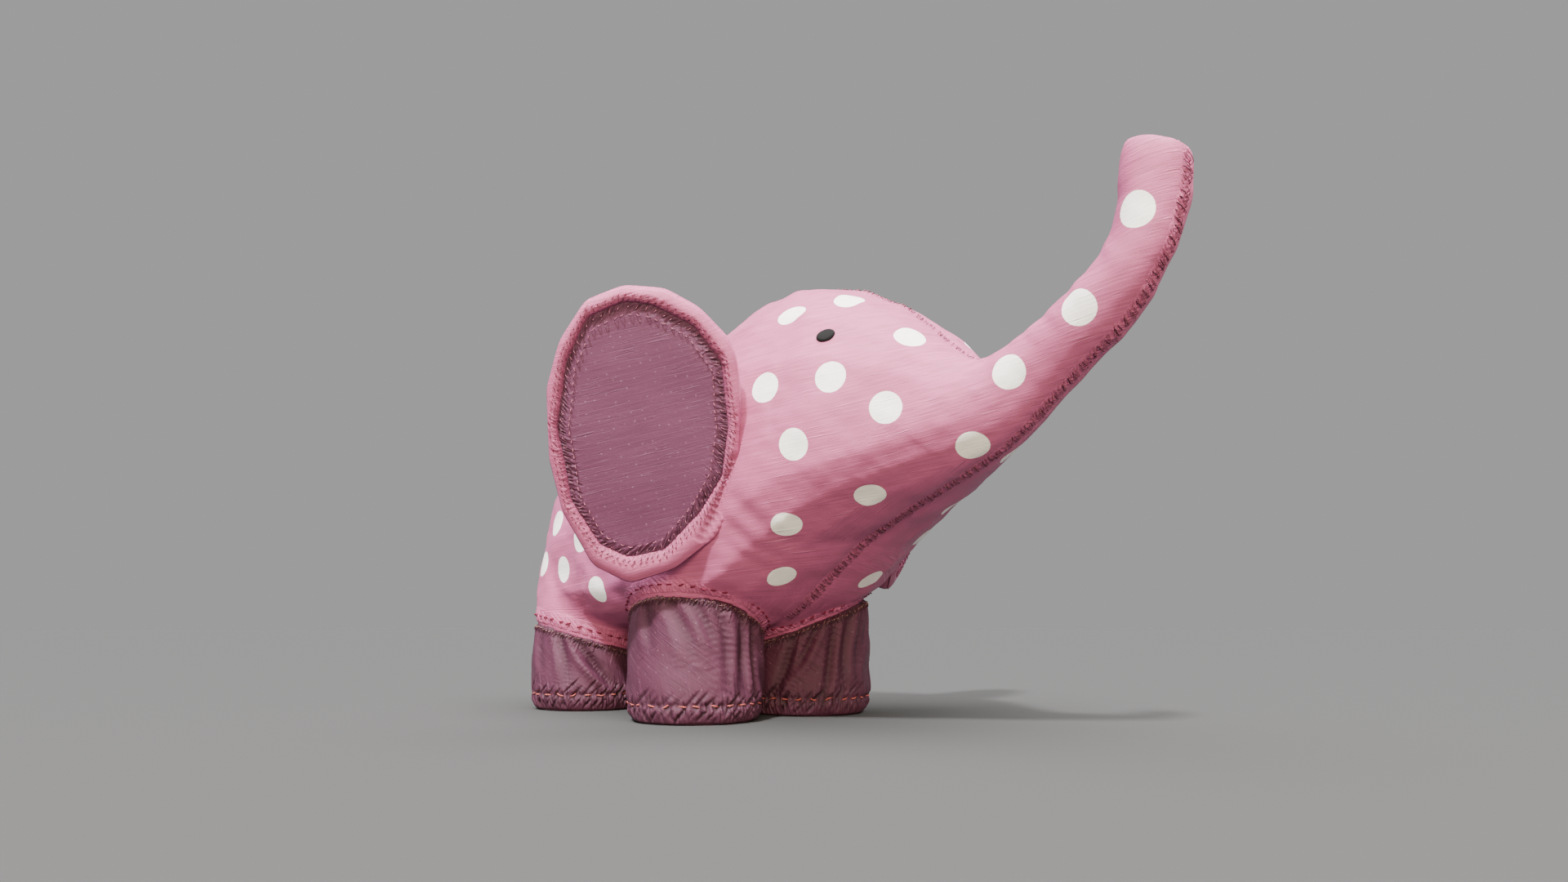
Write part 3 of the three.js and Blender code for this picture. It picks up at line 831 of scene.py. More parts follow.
def welt(name, line, height, pucker, nodes):
    """The rolled seam allowance along the middle: a puckered ridge whose edges sink into the cloth."""
    x = np.linspace(-WELT_HALF, WELT_HALF, WELT_ROWS)[:, None]
    flat = np.stack(np.broadcast_arrays(x, line[None, :, 0], line[None, :, 1]), -1)
    place, normal = nearest(form, flat)
    around = np.linspace(0, 1, len(line))[None, :]
    count = round(len(line) * WELT_PITCH / (pucker * MM))
    crown = 1 - (x / WELT_HALF) ** 2
    rumple = gathers(around, np.abs(x), count, 3 * MM, 0.9 * np.sign(x), 21)
    nicks = nicked(around, x, 22, ((count, 1.6, 2.3, 1.1, 1, 0), (count + 3, -1.6, 2.3, -1.1, 1, 1)))
    lift = height * crown * (1 + 0.6 * rumple) - 0.9 * MM * nicks * crown - 0.25 * MM
    co = lifted(place, normal, lift)
    co[..., 0] += 0.35 * MM * np.sin(around * count * 2.1) * crown
    obj = new_piece(name, co, grid_faces(WELT_ROWS, len(line)))
    run = np.arange(len(line))[None, :] * WELT_PITCH
    place = np.stack(np.broadcast_arrays(run, x, 0 * run), -1)
    # Painted shade: fold darkens the welt in the valleys between its puckers and in its nicks.
    store(obj, cloth=place, fold=np.clip(0.3 * valleys(rumple) + 0.65 * nicks, 0, 1))
    return finish_piece(obj, PLAIN_PINK, TRUNK_BLEND, nodes)


def overcast(name, line, sizes, material, seed):
    """Thread wound over the welt; sizes are its pitch, half width, lift, thickness and slant, all in mm."""
    pitch, reach, lift, thick, slant = np.array(sizes) * MM
    rng = np.random.default_rng(seed)
    at = evenly(line, pitch)[2:]
    ahead = unit(np.gradient(at, axis=0))
    count = len(at)
    width = reach * rng.uniform(0.7, 1.15, count)[:, None]
    middle = (rng.normal(0, 0.2, count) * reach)[:, None]
    slip = (rng.normal(0, 0.25, count) * pitch)[:, None]
    t = np.linspace(-1, 1, 9)[None, :]
    x = middle + t * width
    run = slip + t * slant * rng.uniform(0.6, 1.3, count)[:, None]
    place, normal = nearest(form, np.stack([x, *(at[:, [k]] + ahead[:, [k]] * run for k in (0, 1))], -1))
    crown = np.clip(1 - (x / WELT_HALF) ** 2, 0, 1)
    dive = 0.9 * MM * rise(np.abs(t), 0.7, 1)
    paths = lifted(place, normal, lift * crown + thick - dive)
    return finish_piece(tubes(name, paths, thick, (0, 0.3, 1)), material, TRUNK_BLEND)


under_line, over_line = seam_lines()
welt("chin_and_trunk_seam", under_line, WELT_HEIGHT, 1.8, ["chin_seam", "trunk_seam"])
welt("forehead_and_back_seam_welt", over_line, 0.75 * WELT_HEIGHT, 2.6, ["forehead_and_back_seam"])
overcast("chin_overcast_rose", under_line, (2.3, 2.9, 0.85, 0.15, 1.5), ROSE, 31)
overcast("chin_overcast_wine", under_line, (3.4, 2.6, 0.6, 0.12, 0.9), WINE, 32)
overcast("back_overcast_rose", over_line, (2.5, 1.9, 0.7, 0.15, 1.2), ROSE, 33)
overcast("back_overcast_wine", over_line, (4.1, 1.8, 0.5, 0.12, 0.8), WINE, 34)

# ---- legs: gathered pink edge, plum sleeve, sole and their stitching ----
AROUND = 640  # columns round a leg
LEG_ANGLE = circle(AROUND)
LEG_AROUND = LEG_ANGLE[None, :] / TURN
PROFILE_STEP = 4  # columns from one ray to the next
BAND_REACH = 9.5 * MM
BAND_ROWS = 27
BAND_STITCH_ROW = 12
BAND_NICKS = ((104, 2.3, 2.6, 0.8, 1, 1), (61, 5.0, 2.6, 1.2, 0.7, 10))
SLEEVE_LIFT = 0.5 * MM
SLEEVE_HEM = 1.0 * MM  # above the floor
SLEEVE_ROWS = ((0, 0.22, 26), (0.22, 0.7, 40), (0.7, 1, 22))  # from and to a share of its way down, count
SLEEVE_TOP_NICKS = ((116, 2.4, 2.3, 1.2, 1, 11),)
SLEEVE_LOW_NICKS = ((37, 9.5, 4.6, -0.9, 1, 12), (41, 5.0, 3.6, -0.7, 1, 13), (58, 7.4, 4.4, 0.2, 0.9, 14))
BIAS = math.radians(33)  # of the sleeves' weave
FOOT_STITCH_HEIGHT = 8 * MM

# Drape folds of a front and a rear sleeve: (degrees round the leg from the front, outwards positive;
# distance below the edge in mm) for the start, bend and end, then width and depth in mm.
FOLDS = {
    "front": [
        ((62, 2), (44, 12), (36, 30), 3.4, 0.9), ((42, 1), (22, 10), (14, 30), 3.2, 1.2),
        ((22, 1), (4, 16), (9, 40), 3.0, 1.1), ((2, 1), (-12, 16), (-4, 40), 3.4, 1.4),
        ((-16, 1), (-20, 20), (-28, 40), 2.4, 1.5), ((-34, 2), (-44, 14), (-62, 22), 2.8, 1.6),
        ((-52, 2), (-60, 18), (-78, 30), 3.0, 1.6), ((86, 2), (82, 14), (72, 24), 3.4, 0.8),
        ((128, 2), (122, 16), (124, 30), 3.2, 0.8), ((160, 3), (156, 18), (164, 34), 3.4, 1.0),
        ((-120, 3), (-126, 16), (-124, 30), 3.0, 1.0), ((-150, 2), (-158, 12), (-156, 26), 3.0, 1.0),
    ],
    "rear": [
        ((64, 1), (52, 12), (50, 26), 3.0, 1.1), ((44, 1), (34, 12), (14, 16), 2.8, 1.4),
        ((30, 6), (18, 18), (-4, 20), 2.8, 1.4), ((92, 2), (90, 14), (82, 24), 3.2, 0.7),
        ((124, 2), (118, 14), (122, 26), 3.2, 0.8), ((156, 2), (162, 14), (160, 24), 3.2, 0.9),
        ((-50, 2), (-58, 12), (-70, 20), 2.8, 1.2), ((-100, 2), (-104, 14), (-110, 24), 3.0, 1.0),
        ((-140, 2), (-146, 12), (-142, 24), 3.0, 1.0),
    ],
}


def column_radius(leg, z):
    """The leg's own radius at a height, with its rounded foot."""
    low = np.clip(1 - z / FOOT_ROUNDING, 0, 1)
    return leg["radius"] - 4 * MM * low ** 2.2


def leg_rings(leg, reach, z):
    """Points round a leg's axis, that far from it and that high."""
    x, y = leg["x"] + reach * np.cos(LEG_ANGLE), leg["y"] + reach * np.sin(LEG_ANGLE)
    return np.stack(np.broadcast_arrays(x, y, z), -1)


def leg_profile(leg, angle, heights):
    """Points on the form round a leg, at heights above the sleeve's edge plane (rows x columns x 3)."""
    base, slope_x, slope_y = leg["plane"]
    square = math.sqrt(1 + slope_x ** 2 + slope_y ** 2)

    def ring(reach, height):
        x, y = leg["x"] + reach * np.cos(angle), leg["y"] + reach * np.sin(angle)
        return np.stack([x, y, base + slope_x * x + slope_y * y + height * square], -1)

    rows = []
    for height in heights:
        reach = np.full(len(angle), leg["radius"])
        for _ in range(3):
            for i, z in enumerate(ring(reach, height)[:, 2]):
                way = Vector((math.cos(angle[i]), math.sin(angle[i]), 0))
                hit = form.ray_cast(Vector((leg["x"], leg["y"], max(z, 2 * MM))), way, SLEEVE_REACH)
                reach[i] = hit[3] if hit[3] is not None else SLEEVE_REACH
        rows.append(ring(reach, height))
    return np.array(rows)


def leg_collar(leg):
    """The form round the top of a leg, from the sleeve's edge up."""
    coarse_angle = LEG_ANGLE[::PROFILE_STEP]
    coarse = leg_profile(leg, coarse_angle, np.linspace(0, 14, 8) * MM)
    collar = np.empty((len(coarse), AROUND, 3))
    for row, k in np.ndindex(len(coarse), 3):
        collar[row, :, k] = np.interp(LEG_ANGLE, coarse_angle, coarse[row, :, k], period=TURN)
    return collar


def outward_of(co):
    """Normals of a closed grid of rows going up and columns going round anticlockwise."""
    round_it = np.roll(co, -1, axis=1) - np.roll(co, 1, axis=1)
    return unit(np.cross(round_it, np.gradient(co, axis=0)))


def by_run(rows, wanted):
    """Resamples each column of a grid at wanted distances from its first row."""
    steps = np.cumsum(np.linalg.norm(np.diff(rows, axis=0), axis=-1), axis=0)
    run = np.concatenate([np.zeros((1, rows.shape[1])), steps])
    made = np.empty((len(wanted), rows.shape[1], 3))
    for column, k in np.ndindex(rows.shape[1], 3):
        made[:, column, k] = np.interp(wanted, run[:, column], rows[:, column, k])
    return made


def smoothed(line, width=9):
    """A closed line with each point moved to the mean of those round it."""
    half = width // 2
    wrapped = np.concatenate([line[-half:], line, line[:half]])
    return np.stack([np.convolve(values, np.ones(width) / width, "valid") for values in wrapped.T], -1)


def make_gathered_edge(leg, collar, seed):
    """The pink cloth's gathered edge, a band laid over the body's own face, with its running stitch."""
    away = np.linspace(0, BAND_REACH, BAND_ROWS)[:, None]
    band = by_run(collar, away[:, 0])
    normal = outward_of(band)
    pucker = gathers(LEG_AROUND, away, 74, 5.5 * MM, 0.5, seed)
    nicks = nicked(LEG_AROUND, away, seed, BAND_NICKS)
    cover = 0.55 * MM * np.cos(math.pi / 2 * away / BAND_REACH)
    cover = cover - 0.3 * MM * rise(away, 0.8 * BAND_REACH, BAND_REACH) - 1.2 * MM * bell(away, 0.9 * MM)
    gathered = lifted(band, normal, cover + 0.8 * MM * pucker - 0.8 * MM * nicks)
    obj = new_piece(f"gathered_edge_{leg['tag']}", gathered, grid_faces(BAND_ROWS, AROUND, closed=True))
    # Painted shade: darker in the valleys of the gathers and in the nicks, stored as the attribute fold.
    edge_painted_shade = 0.4 * valleys(pucker) * bell(away, 6 * MM) + 0.8 * nicks
    store(obj, dot=dot_distance(band), fold=np.clip(edge_painted_shade, 0, 1))
    cut_cloth_place(obj, band.reshape(-1, 3), normal.reshape(-1, 3))
    finish_piece(obj, PINK, "body")
    line, facing = smoothed(gathered[BAND_STITCH_ROW]), normal[BAND_STITCH_ROW]
    sizes = (5.2, 3.0, 0.2, 0.36, 0.8)
    row = row_of_stitches(f"edge_stitching_{leg['tag']}", line, facing, sizes, CRIMSON, "body", seed + 7)
    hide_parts(f"sleeve_stitching_{leg['tag']}")


def drape_of(leg, below):
    """The folds of a sleeve at each of its points."""
    end, side = leg["tag"].split("_")
    around = (np.degrees(LEG_ANGLE) + 90) % 360
    around = np.where(around > 180, around - 360, around) * (1 if side == "left" else -1)

    def arc(degrees):
        return degrees * math.pi / 180 * leg["radius"] / MM

    run = np.broadcast_to(arc(around)[None, :], below.shape)
    return sum(
        depth * fold(run, below / MM, *[(arc(degrees), drop) for degrees, drop in curve], width)
        for *curve, width, depth in FOLDS[end]
    )


def make_sleeve(leg, edge, seed):
    """The plum sleeve down to the sole; gives its face, the distances below its edge and the heights."""
    radius = np.hypot(edge[:, 0] - leg["x"], edge[:, 1] - leg["y"])
    share = np.concatenate([np.linspace(low, high, rows, high == 1) for low, high, rows in SLEEVE_ROWS])
    below = share[::-1, None] * (edge[:, 2] - SLEEVE_HEM)[None, :]
    z = edge[None, :, 2] - below
    near_edge = rise(below, 22 * MM, 0)
    wide = column_radius(leg, z) * (1 - near_edge) + radius[None, :] * near_edge
    base = leg_rings(leg, wide, z)
    normal = outward_of(base)
    draped = drape_of(leg, below)
    top = gathers(LEG_AROUND, below, 86, 5.0 * MM, 0.9, seed + 2)
    low = gathers(LEG_AROUND, z - SLEEVE_HEM, 52, 11 * MM, 1.1, seed + 4)
    top_nicks = nicked(LEG_AROUND, below, seed, SLEEVE_TOP_NICKS)
    low_nicks = nicked(LEG_AROUND, z, seed, SLEEVE_LOW_NICKS)
    shift = SLEEVE_LIFT + 1.35 * MM * draped + 1.0 * MM * top + 1.3 * MM * low * rise(z, 0.2 * MM, 3 * MM)
    shift += -0.7 * MM * bell(z - FOOT_STITCH_HEIGHT, 1.3 * MM) - 1.6 * MM * bell(below, 1.2 * MM)
    shift += 0.3 * MM * lumps(base, 22 * MM, seed + 6)
    shift -= 1.0 * MM * top_nicks + 1.3 * MM * low_nicks
    face = base + normal * shift[..., None]
    face[..., 2] = np.maximum(face[..., 2], 0.5 * MM)
    hem = leg_rings(leg, wide[0] - 3 * MM, 1.2 * MM)
    inside = leg_rings(leg, wide[-1] - 4 * MM, z[-1] - 1 * MM)
    whole = np.concatenate([hem[None], face, inside[None]])
    # Painted shade: darker in the valleys of the gathers and drape folds, in the nicks, and in a band just
    # below the gathered edge.
    sleeve_painted_shade = 0.5 * valleys(top) + 0.4 * valleys(low) + 0.45 * np.clip(-draped, 0, 1)
    sleeve_painted_shade = sleeve_painted_shade + 0.95 * (top_nicks + low_nicks) + 0.25 * rise(below, 4.6 * MM, 3.2 * MM)
    sleeve_painted_shade = np.clip(sleeve_painted_shade, 0, 1)
    obj = new_piece(f"sleeve_cloth_{leg['tag']}", whole, filled_faces(len(whole), AROUND))
    bias_cloth_place(obj, leg, whole)
    store(obj, fold=np.concatenate([0 * sleeve_painted_shade[:1], sleeve_painted_shade, sleeve_painted_shade[-1:]]))
    nodes = [f"{node}_{leg['tag']}" for node in ("sleeve", "leg_stuffing", "sole_stitching")]
    finish_piece(obj, PLUM, "body", nodes)
    return face, below, z


def bias_cloth_place(obj, leg, co):
    """Stores where a sleeve's face corners lie on the cut cloth, whose weave runs at the bias."""
    corners = read(obj.data.loops, "vertex_index")
    column = corners % AROUND
    starts = np.repeat(read(obj.data.polygons, "loop_start"), read(obj.data.polygons, "loop_total"))
    after_last = (column == 0) & (column[starts] == AROUND - 1)
    along = np.where(after_last, TURN, LEG_ANGLE[column]) * leg["radius"]
    up = co.reshape(-1, 3)[corners, 2]
    warp = along * math.cos(BIAS) - up * math.sin(BIAS)
    weft = along * math.sin(BIAS) + up * math.cos(BIAS)
    store(obj, corners=True, cloth=np.stack([warp, weft, 0 * along], -1))


def sleeve_threads(leg, face, below, z, seed):
    """The stitching at the sleeve's upper edge and round the foot."""
    normals = outward_of(face)
    columns = np.arange(AROUND)
    for name, measured, where, sizes, thread, step in (
        ("sleeve_upper", below, 2.6 * MM, (1.8, 0.8, 1.3, 0.18, 0.75), WINE, 8),
        ("sleeve_lower", below, 1.9 * MM, (2.6, 1.2, 0.4, 0.18, 0.9), BEIGE, 8),
        ("foot", z, FOOT_STITCH_HEIGHT, (7.2, 4.0, 0.1, 0.36, 0.9), SALMON, 9),
    ):
        at = np.argmin(np.abs(measured - where), axis=0)
        row_of_stitches(f"{name}_stitching_{leg['tag']}", smoothed(face[at, columns]), normals[at, columns],
                        sizes, thread, "body", seed + step)


SOLE_PROFILE = np.array([  # share of the radius, height in mm
    (0.02, 0.3), (0.35, 0.2), (0.7, 0.1), (0.9, 0.0), (0.97, 0.15), (1.0, 0.7), (1.0, 1.3), (0.96, 1.7)])
SOLE_AROUND = 96


def make_sole(leg):
    rings, heights = SOLE_PROFILE[:, :1], SOLE_PROFILE[:, 1:] * MM
    angle = circle(SOLE_AROUND)
    radius = leg["radius"] - 3.1 * MM
    x = leg["x"] + radius * rings * np.cos(angle)
    y = leg["y"] + radius * rings * np.sin(angle)
    z = heights + 0.08 * MM * np.sin(17 * angle)[None, :] * rings
    co = np.stack([x, y, np.maximum(z, 0)], -1)[::-1]
    obj = new_piece(f"sole_cloth_{leg['tag']}", co, filled_faces(len(rings), SOLE_AROUND, flipped=True))
    store(obj, cloth=co)
    finish_piece(obj, PLUM, "body", [f"sole_{leg['tag']}"])


for number, each_leg in enumerate(legs):
    leg_seed = 100 + 10 * number
    leg_top = leg_collar(each_leg)
    make_gathered_edge(each_leg, leg_top, leg_seed)
    sleeve = make_sleeve(each_leg, leg_top[0], leg_seed)
    make_sole(each_leg)
    sleeve_threads(each_leg, *sleeve, leg_seed)

# ---- ears ----
EAR_ROOT = np.array(joints["right_ear_flap"]["pos_m"])
EAR_UP = unit(np.array(joints["right_ear_flap"]["axis"], float))
EAR_OUT = unit(np.cross(EAR_UP, (0, 0, 1)))
EAR_BACK = np.cross(EAR_OUT, EAR_UP)
EAR_MIDDLE = np.array((35, -2)) * MM
# Corners of the ear and of its lining as (outwards, up) from the ear's root, in mm.
EAR_OUTLINE = [
    (-4, -14), (-4.4, 17), (-2.5, 31), (1, 38.5), (12, 50), (25.4, 57.4), (41.5, 58.6), (56.8, 52.7),
    (67.5, 37), (73.6, 18), (74, -12), (69.7, -34.4), (58, -58.5), (42.5, -67), (23, -60), (5.6, -46),
    (-4.8, -26),
]
LINING_OUTLINE = [
    (0, 2), (2.8, 29), (14, 43.8), (30, 52), (41, 53.4), (56, 47), (65.5, 29), (70.5, 1.7), (66, -30),
    (55, -49.6), (43, -55.5), (27.6, -52), (12, -35), (3, -19),
]
EAR_AROUND = 800
EAR_ANGLE = circle(EAR_AROUND) - math.pi
AROUND_EAR = (EAR_ANGLE / TURN + 0.5)[None, :]
EAR_FOLD = ((-2, -12), (2, -30), (14, -48), 2.6)  # in the rim below the root: start, bend, end, width, mm
EAR_DOTS = [(20, 30), (46, 38), (56, 10), (30, 2), (12, -14), (44, -18), (26, -36), (50, -44)]  # on its back
EAR_SEED = 300
LINING_NICKS = ((150, 1.9, 2.5, 1.2, 1, 2), (83, 3.8, 2.2, 0.8, 0.6, 7))
RIM_NICKS = ((190, 1.1, 1.2, -1.6, 1, 5), (173, 2.7, 1.0, -1.2, 1, 8))
HALF_EAR = 4.2 * MM  # of the ear's thickness at its edge
EDGE_ROUNDING = 2.2 * MM


def radius_round(corners, soften):
    """The distance from the ear's middle to a polygon softened over that many degrees, at each angle."""
    polygon = np.array(corners) * MM - EAR_MIDDLE
    line = evenly(np.concatenate([polygon, polygon[:1]]), 0.3 * MM)[:-1]
    at = np.arctan2(line[:, 1], line[:, 0])
    order = np.argsort(at)
    distance = np.interp(EAR_ANGLE, at[order], np.hypot(*line[order].T), period=TURN)
    width = round(soften / 360 * EAR_AROUND)
    kernel = np.hanning(2 * width + 3)[1:-1]
    kernel /= kernel.sum()
    wrapped = np.concatenate([distance[-width:], distance, distance[:width]])
    return np.convolve(wrapped, kernel, "valid")[None, :]


OUTER, INNER = radius_round(EAR_OUTLINE, 4.5), radius_round(LINING_OUTLINE, 4)


def rings(radii):
    """Points round the ear's middle as (outwards, up)."""
    return EAR_MIDDLE[0] + radii * np.cos(EAR_ANGLE), EAR_MIDDLE[1] + radii * np.sin(EAR_ANGLE)


def in_ear(u, v, w, side="right"):
    """Points in an ear's own frame, outwards, up and to the back, as points of the toy."""
    co = EAR_ROOT + u[..., None] * EAR_OUT + v[..., None] * EAR_UP + w[..., None] * EAR_BACK
    return mirror(co, side)


def mirror(co, side):
    return co * ((1, 1, 1) if side == "right" else (-1, 1, 1))


def ear_bend(side):
    """The two bodies that an ear joins, and the bend between them from its root outwards."""
    root, beyond = (in_ear(*(np.array(value * MM) for value in (out, 0, 0)), side) for out in (-3, 10))
    return "body", f"{side}_ear", root, beyond


def ear_surface(name, u, v, w, side, material, nodes, painted_fold_shade):
    """A closed piece of an ear from rings of points, whose first and last ring are filled in."""
    obj = new_piece(name, in_ear(u, v, w, side), filled_faces(*u.shape, flipped=side == "left"))
    # painted_fold_shade is painted shade, stored as the attribute fold.
    store(obj, cloth=np.stack([u * 0.97 - v * 0.26, v * 0.97 + u * 0.26, 0 * u], -1), fold=painted_fold_shade)
    return finish_piece(obj, material, ear_bend(side), nodes)


def ear_lumps(u, v, length, seed):
    return lumps(np.stack([u, v, 0 * u], -1), length, seed)


def make_lining(side):
    """The plum lining: nearly flat, puckered towards its edge and turned under there."""
    inward = np.linspace(1, 0.22, 16, endpoint=False) * INNER.min()
    inward = np.concatenate([inward, np.linspace(8.2, 0, 24) * MM])
    fraction = np.clip(1 - inward[:, None] / INNER, 0.02, 1)
    radii = fraction * INNER
    edge = INNER - radii
    pucker = gathers(AROUND_EAR, edge, 128, 4.6 * MM, 1.1, EAR_SEED + 1)
    nicks = nicked(AROUND_EAR, edge, EAR_SEED, LINING_NICKS)
    height = 4.1 * MM + 0.5 * MM * np.cos(math.pi / 2 * fraction)
    height = height + 0.25 * MM * ear_lumps(*rings(radii), 30 * MM, EAR_SEED + 3)
    height = height - 0.5 * MM * rise(edge, 5.5 * MM, 0) - 0.5 * MM * rise(edge, 1.1 * MM, 0)
    height = height + 0.55 * MM * pucker - 0.8 * MM * nicks
    bed = np.array([[1.0], [0.05]]) * (INNER - 0.6 * MM)
    u, v = rings(np.concatenate([radii, bed]))
    w = -np.concatenate([height, np.full(bed.shape, 1.4 * MM)])
    # Painted shade: darker in the valleys of the puckers, in the nicks, and in a band along the lining's edge
    # under the rim.
    painted_fold_shade = 0.4 * valleys(pucker) * bell(edge, 4.0 * MM) + 0.85 * nicks
    painted_fold_shade = np.concatenate([np.clip(painted_fold_shade + 0.22 * rise(edge, 4.2 * MM, 2.6 * MM), 0, 1), 0 * bed])
    nodes = [f"ear_lining_{side}"]
    ear_surface(f"ear_lining_cloth_{side}", u, v, w, side, LINING_PAINTED_LIGHTER, nodes, painted_fold_shade)


def make_ear_back(side):
    """The pink back of an ear, with its rim rolled round to the front."""
    across = np.linspace(0, 1, 17)[:, None]
    rim = INNER - 0.5 * MM + across * (OUTER - INNER + 0.5 * MM) * 0.93
    from_lining = across * (OUTER - INNER)
    rumple = gathers(AROUND_EAR, from_lining, 150, 2.6 * MM, -0.8, EAR_SEED + 4)
    nicks = nicked(AROUND_EAR, from_lining, EAR_SEED, RIM_NICKS)
    rim_u, rim_v = rings(rim)
    bent = fold(rim_u / MM, rim_v / MM, *EAR_FOLD)
    roll = 2.9 * MM + 3.0 * MM * np.sin(math.pi * np.clip(across * 0.62 + 0.2, 0, 1)) ** 1.2
    roll = roll + 0.5 * MM * rumple - 0.55 * MM * nicks + 2.4 * MM * bent - 0.9 * MM * rise(across, 0.10, 0)
    turn = np.linspace(0, math.pi, 15)[1:, None]
    side_radius = OUTER - EDGE_ROUNDING * (1 - np.sin(turn) ** 0.8)
    back = np.linspace(0.96, 0.02, 20)[:, None]
    back_radius = back * (OUTER - EDGE_ROUNDING)
    puff = HALF_EAR + 1.6 * MM * np.sqrt(1 - back ** 2)
    puff = puff + 0.3 * MM * ear_lumps(*rings(back_radius), 26 * MM, EAR_SEED + 6)
    bed = np.array([[0.05], [0.97]]) * (INNER - 0.6 * MM)
    u, v = rings(np.concatenate([bed, rim, side_radius, back_radius]))
    side_w = np.broadcast_to(-HALF_EAR * np.cos(turn), side_radius.shape)
    w = np.concatenate([np.full(bed.shape, -1.2 * MM), -roll, side_w, puff])
    # Painted shade in the rim: darker in the valleys of the rumples, in the nicks and in the fold below the
    # root.
    painted_fold_shade = np.zeros(u.shape)
    painted_fold_shade[2:2 + len(rumple)] = np.clip(0.4 * valleys(rumple) + 0.8 * nicks - 0.55 * np.minimum(bent, 0), 0, 1)
    nodes = [f"ear_back_{side}", f"ear_wadding_{side}"]
    cushion = ear_surface(f"ear_back_cloth_{side}", u, v, w, side, PINK, nodes, painted_fold_shade)
    distance = np.min([np.hypot(u - a * MM, v - b * MM) for a, b in EAR_DOTS], axis=0)
    store(cushion, dot=np.where(w > 2 * MM, distance, 1.0))


def ear_threads(side):
    """Rows of stitches on the lining and the rim, so many mm inwards from the lining's edge and forwards."""
    for name, inward, depth, sizes, material, step in (
        ("running", 5.4, 4.5, (3.4, 1.8, 0.1, 0.19, 0.8), ROSE, 101),
        ("edge", 2.4, 4.1, (3.7, 1.0, 0.8, 0.13, 0.8), ROSE, 102),
        ("rim_inner", -0.9, 4.8, (2.5, 1.1, 0.5, 0.15, 0.8), WINE, 104),
        ("rim_outer", -2.4, 5.4, (2.9, 1.2, 0.4, 0.14, 0.8), CRIMSON, 105),
    ):
        u, v = rings((INNER + np.minimum(-inward * MM, 0.75 * (OUTER - INNER)))[0])
        line = in_ear(u, v, np.full(len(u), -depth * MM), side)
        normal = np.broadcast_to(mirror(-EAR_BACK, side), line.shape)
        row = row_of_stitches(f"ear_{name}_stitching_{side}", line, normal, sizes, material,
                              ear_bend(side), EAR_SEED + step)
        if name == "running":
            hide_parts(f"ear_stitching_{side}")


ROOT_STITCH_REACH = 4.5 * MM
ROOT_STITCH_PITCH = 2.1


def ear_root_stitches(side):
    """Overcast stitches that join the back of the ear to the body."""
    starts, ends, faces = [], [], []
    for height in np.arange(-20, 34, ROOT_STITCH_PITCH) * MM:
        back_edge = in_ear(np.array(0.0), height, np.array(3.4 * MM))
        place, normal, _, distance = form.find_nearest(Vector(back_edge))
        if distance > ROOT_STITCH_REACH:
            continue
        starts.append(np.array(place) + EAR_UP * 0.8 * MM + EAR_BACK * 0.8 * MM)
        ends.append(in_ear(np.array(2.2 * MM), height, np.array(3.9 * MM)))
        faces.append(unit(np.array(normal) + EAR_BACK))
    starts, ends, faces = (mirror(np.array(points), side) for points in (starts, ends, faces))
    obj = stitches(f"ear_root_stitches_{side}", starts, ends, faces, 0.25 * MM, 0.5 * MM)
    finish_piece(obj, CRIMSON, "body", [f"ear_root_stitching_{side}"])


# ---- eyes: felt ovals sewn on ----
EYE_LENGTH = 7.9 * MM
EYE_HEIGHT = 6.3 * MM
EYE_TILT = math.radians(22)
EYE_THICKNESS = 1.3 * MM
EYE_AROUND = 72
EYE_PROFILE = [  # share of the oval, share of the thickness
    (0.02, 1.0), (0.4, 0.98), (0.7, 0.92), (0.86, 0.8), (0.95, 0.55), (1.0, 0.2), (1.0, -0.5), (0.9, -0.9)]


def make_eye(side):
    low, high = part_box(f"eye_{side}")
    centre, normal = (np.array(value) for value in form.find_nearest((low + high) / 2)[:2])
    ahead = unit(np.cross(normal, (0, 0, 1)) * (1 if side == "left" else -1))
    raised = unit(np.cross(normal, ahead)) * (1 if side == "right" else -1)
    long_way = ahead * math.cos(EYE_TILT) + raised * math.sin(EYE_TILT)
    high_way = unit(np.cross(normal, long_way))
    angle = circle(EYE_AROUND)
    ragged = 1 + np.random.default_rng(501).uniform(-0.012, 0.012, EYE_AROUND)
    co = []
    for share, up in EYE_PROFILE:
        flat = centre + share * (ragged * np.cos(angle))[:, None] * long_way * EYE_LENGTH / 2
        flat = flat + share * (ragged * np.sin(angle))[:, None] * high_way * EYE_HEIGHT / 2
        place, facing = nearest(form, flat)
        co.append(lifted(place, facing, up * EYE_THICKNESS))
    obj = new_piece(f"eye_felt_{side}", co, filled_faces(len(EYE_PROFILE), EYE_AROUND))
    mesh = bmesh.new()
    mesh.from_mesh(obj.data)
    bmesh.ops.recalc_face_normals(mesh, faces=mesh.faces)
    mesh.to_mesh(obj.data)
    mesh.free()
    store(obj, cloth=points_of(obj))
    finish_piece(obj, FELT, "body", [f"eye_{side}"])


for each_side in SIDES:
    make_lining(each_side)
    make_ear_back(each_side)
    ear_threads(each_side)
    ear_root_stitches(each_side)
    make_eye(each_side)

# ---- tail: a braid of three cloth strips and a yarn tuft ----
TAIL_PATH = [(169.5, 101.4), (173.5, 101), (177.4, 97.8), (179, 91), (179, 77), (179, 62)]  # y, z in mm
BRAID_STEP = 0.6 * MM
BRAID_LENGTH = 13 * MM  # of one full turn of the braid
YARN_COUNT = 90
YARN_STEPS = 9
TUFT_RADIUS = 5.0 * MM
TIE_TURNS = 5
TIE_RADIUS = 2.5 * MM


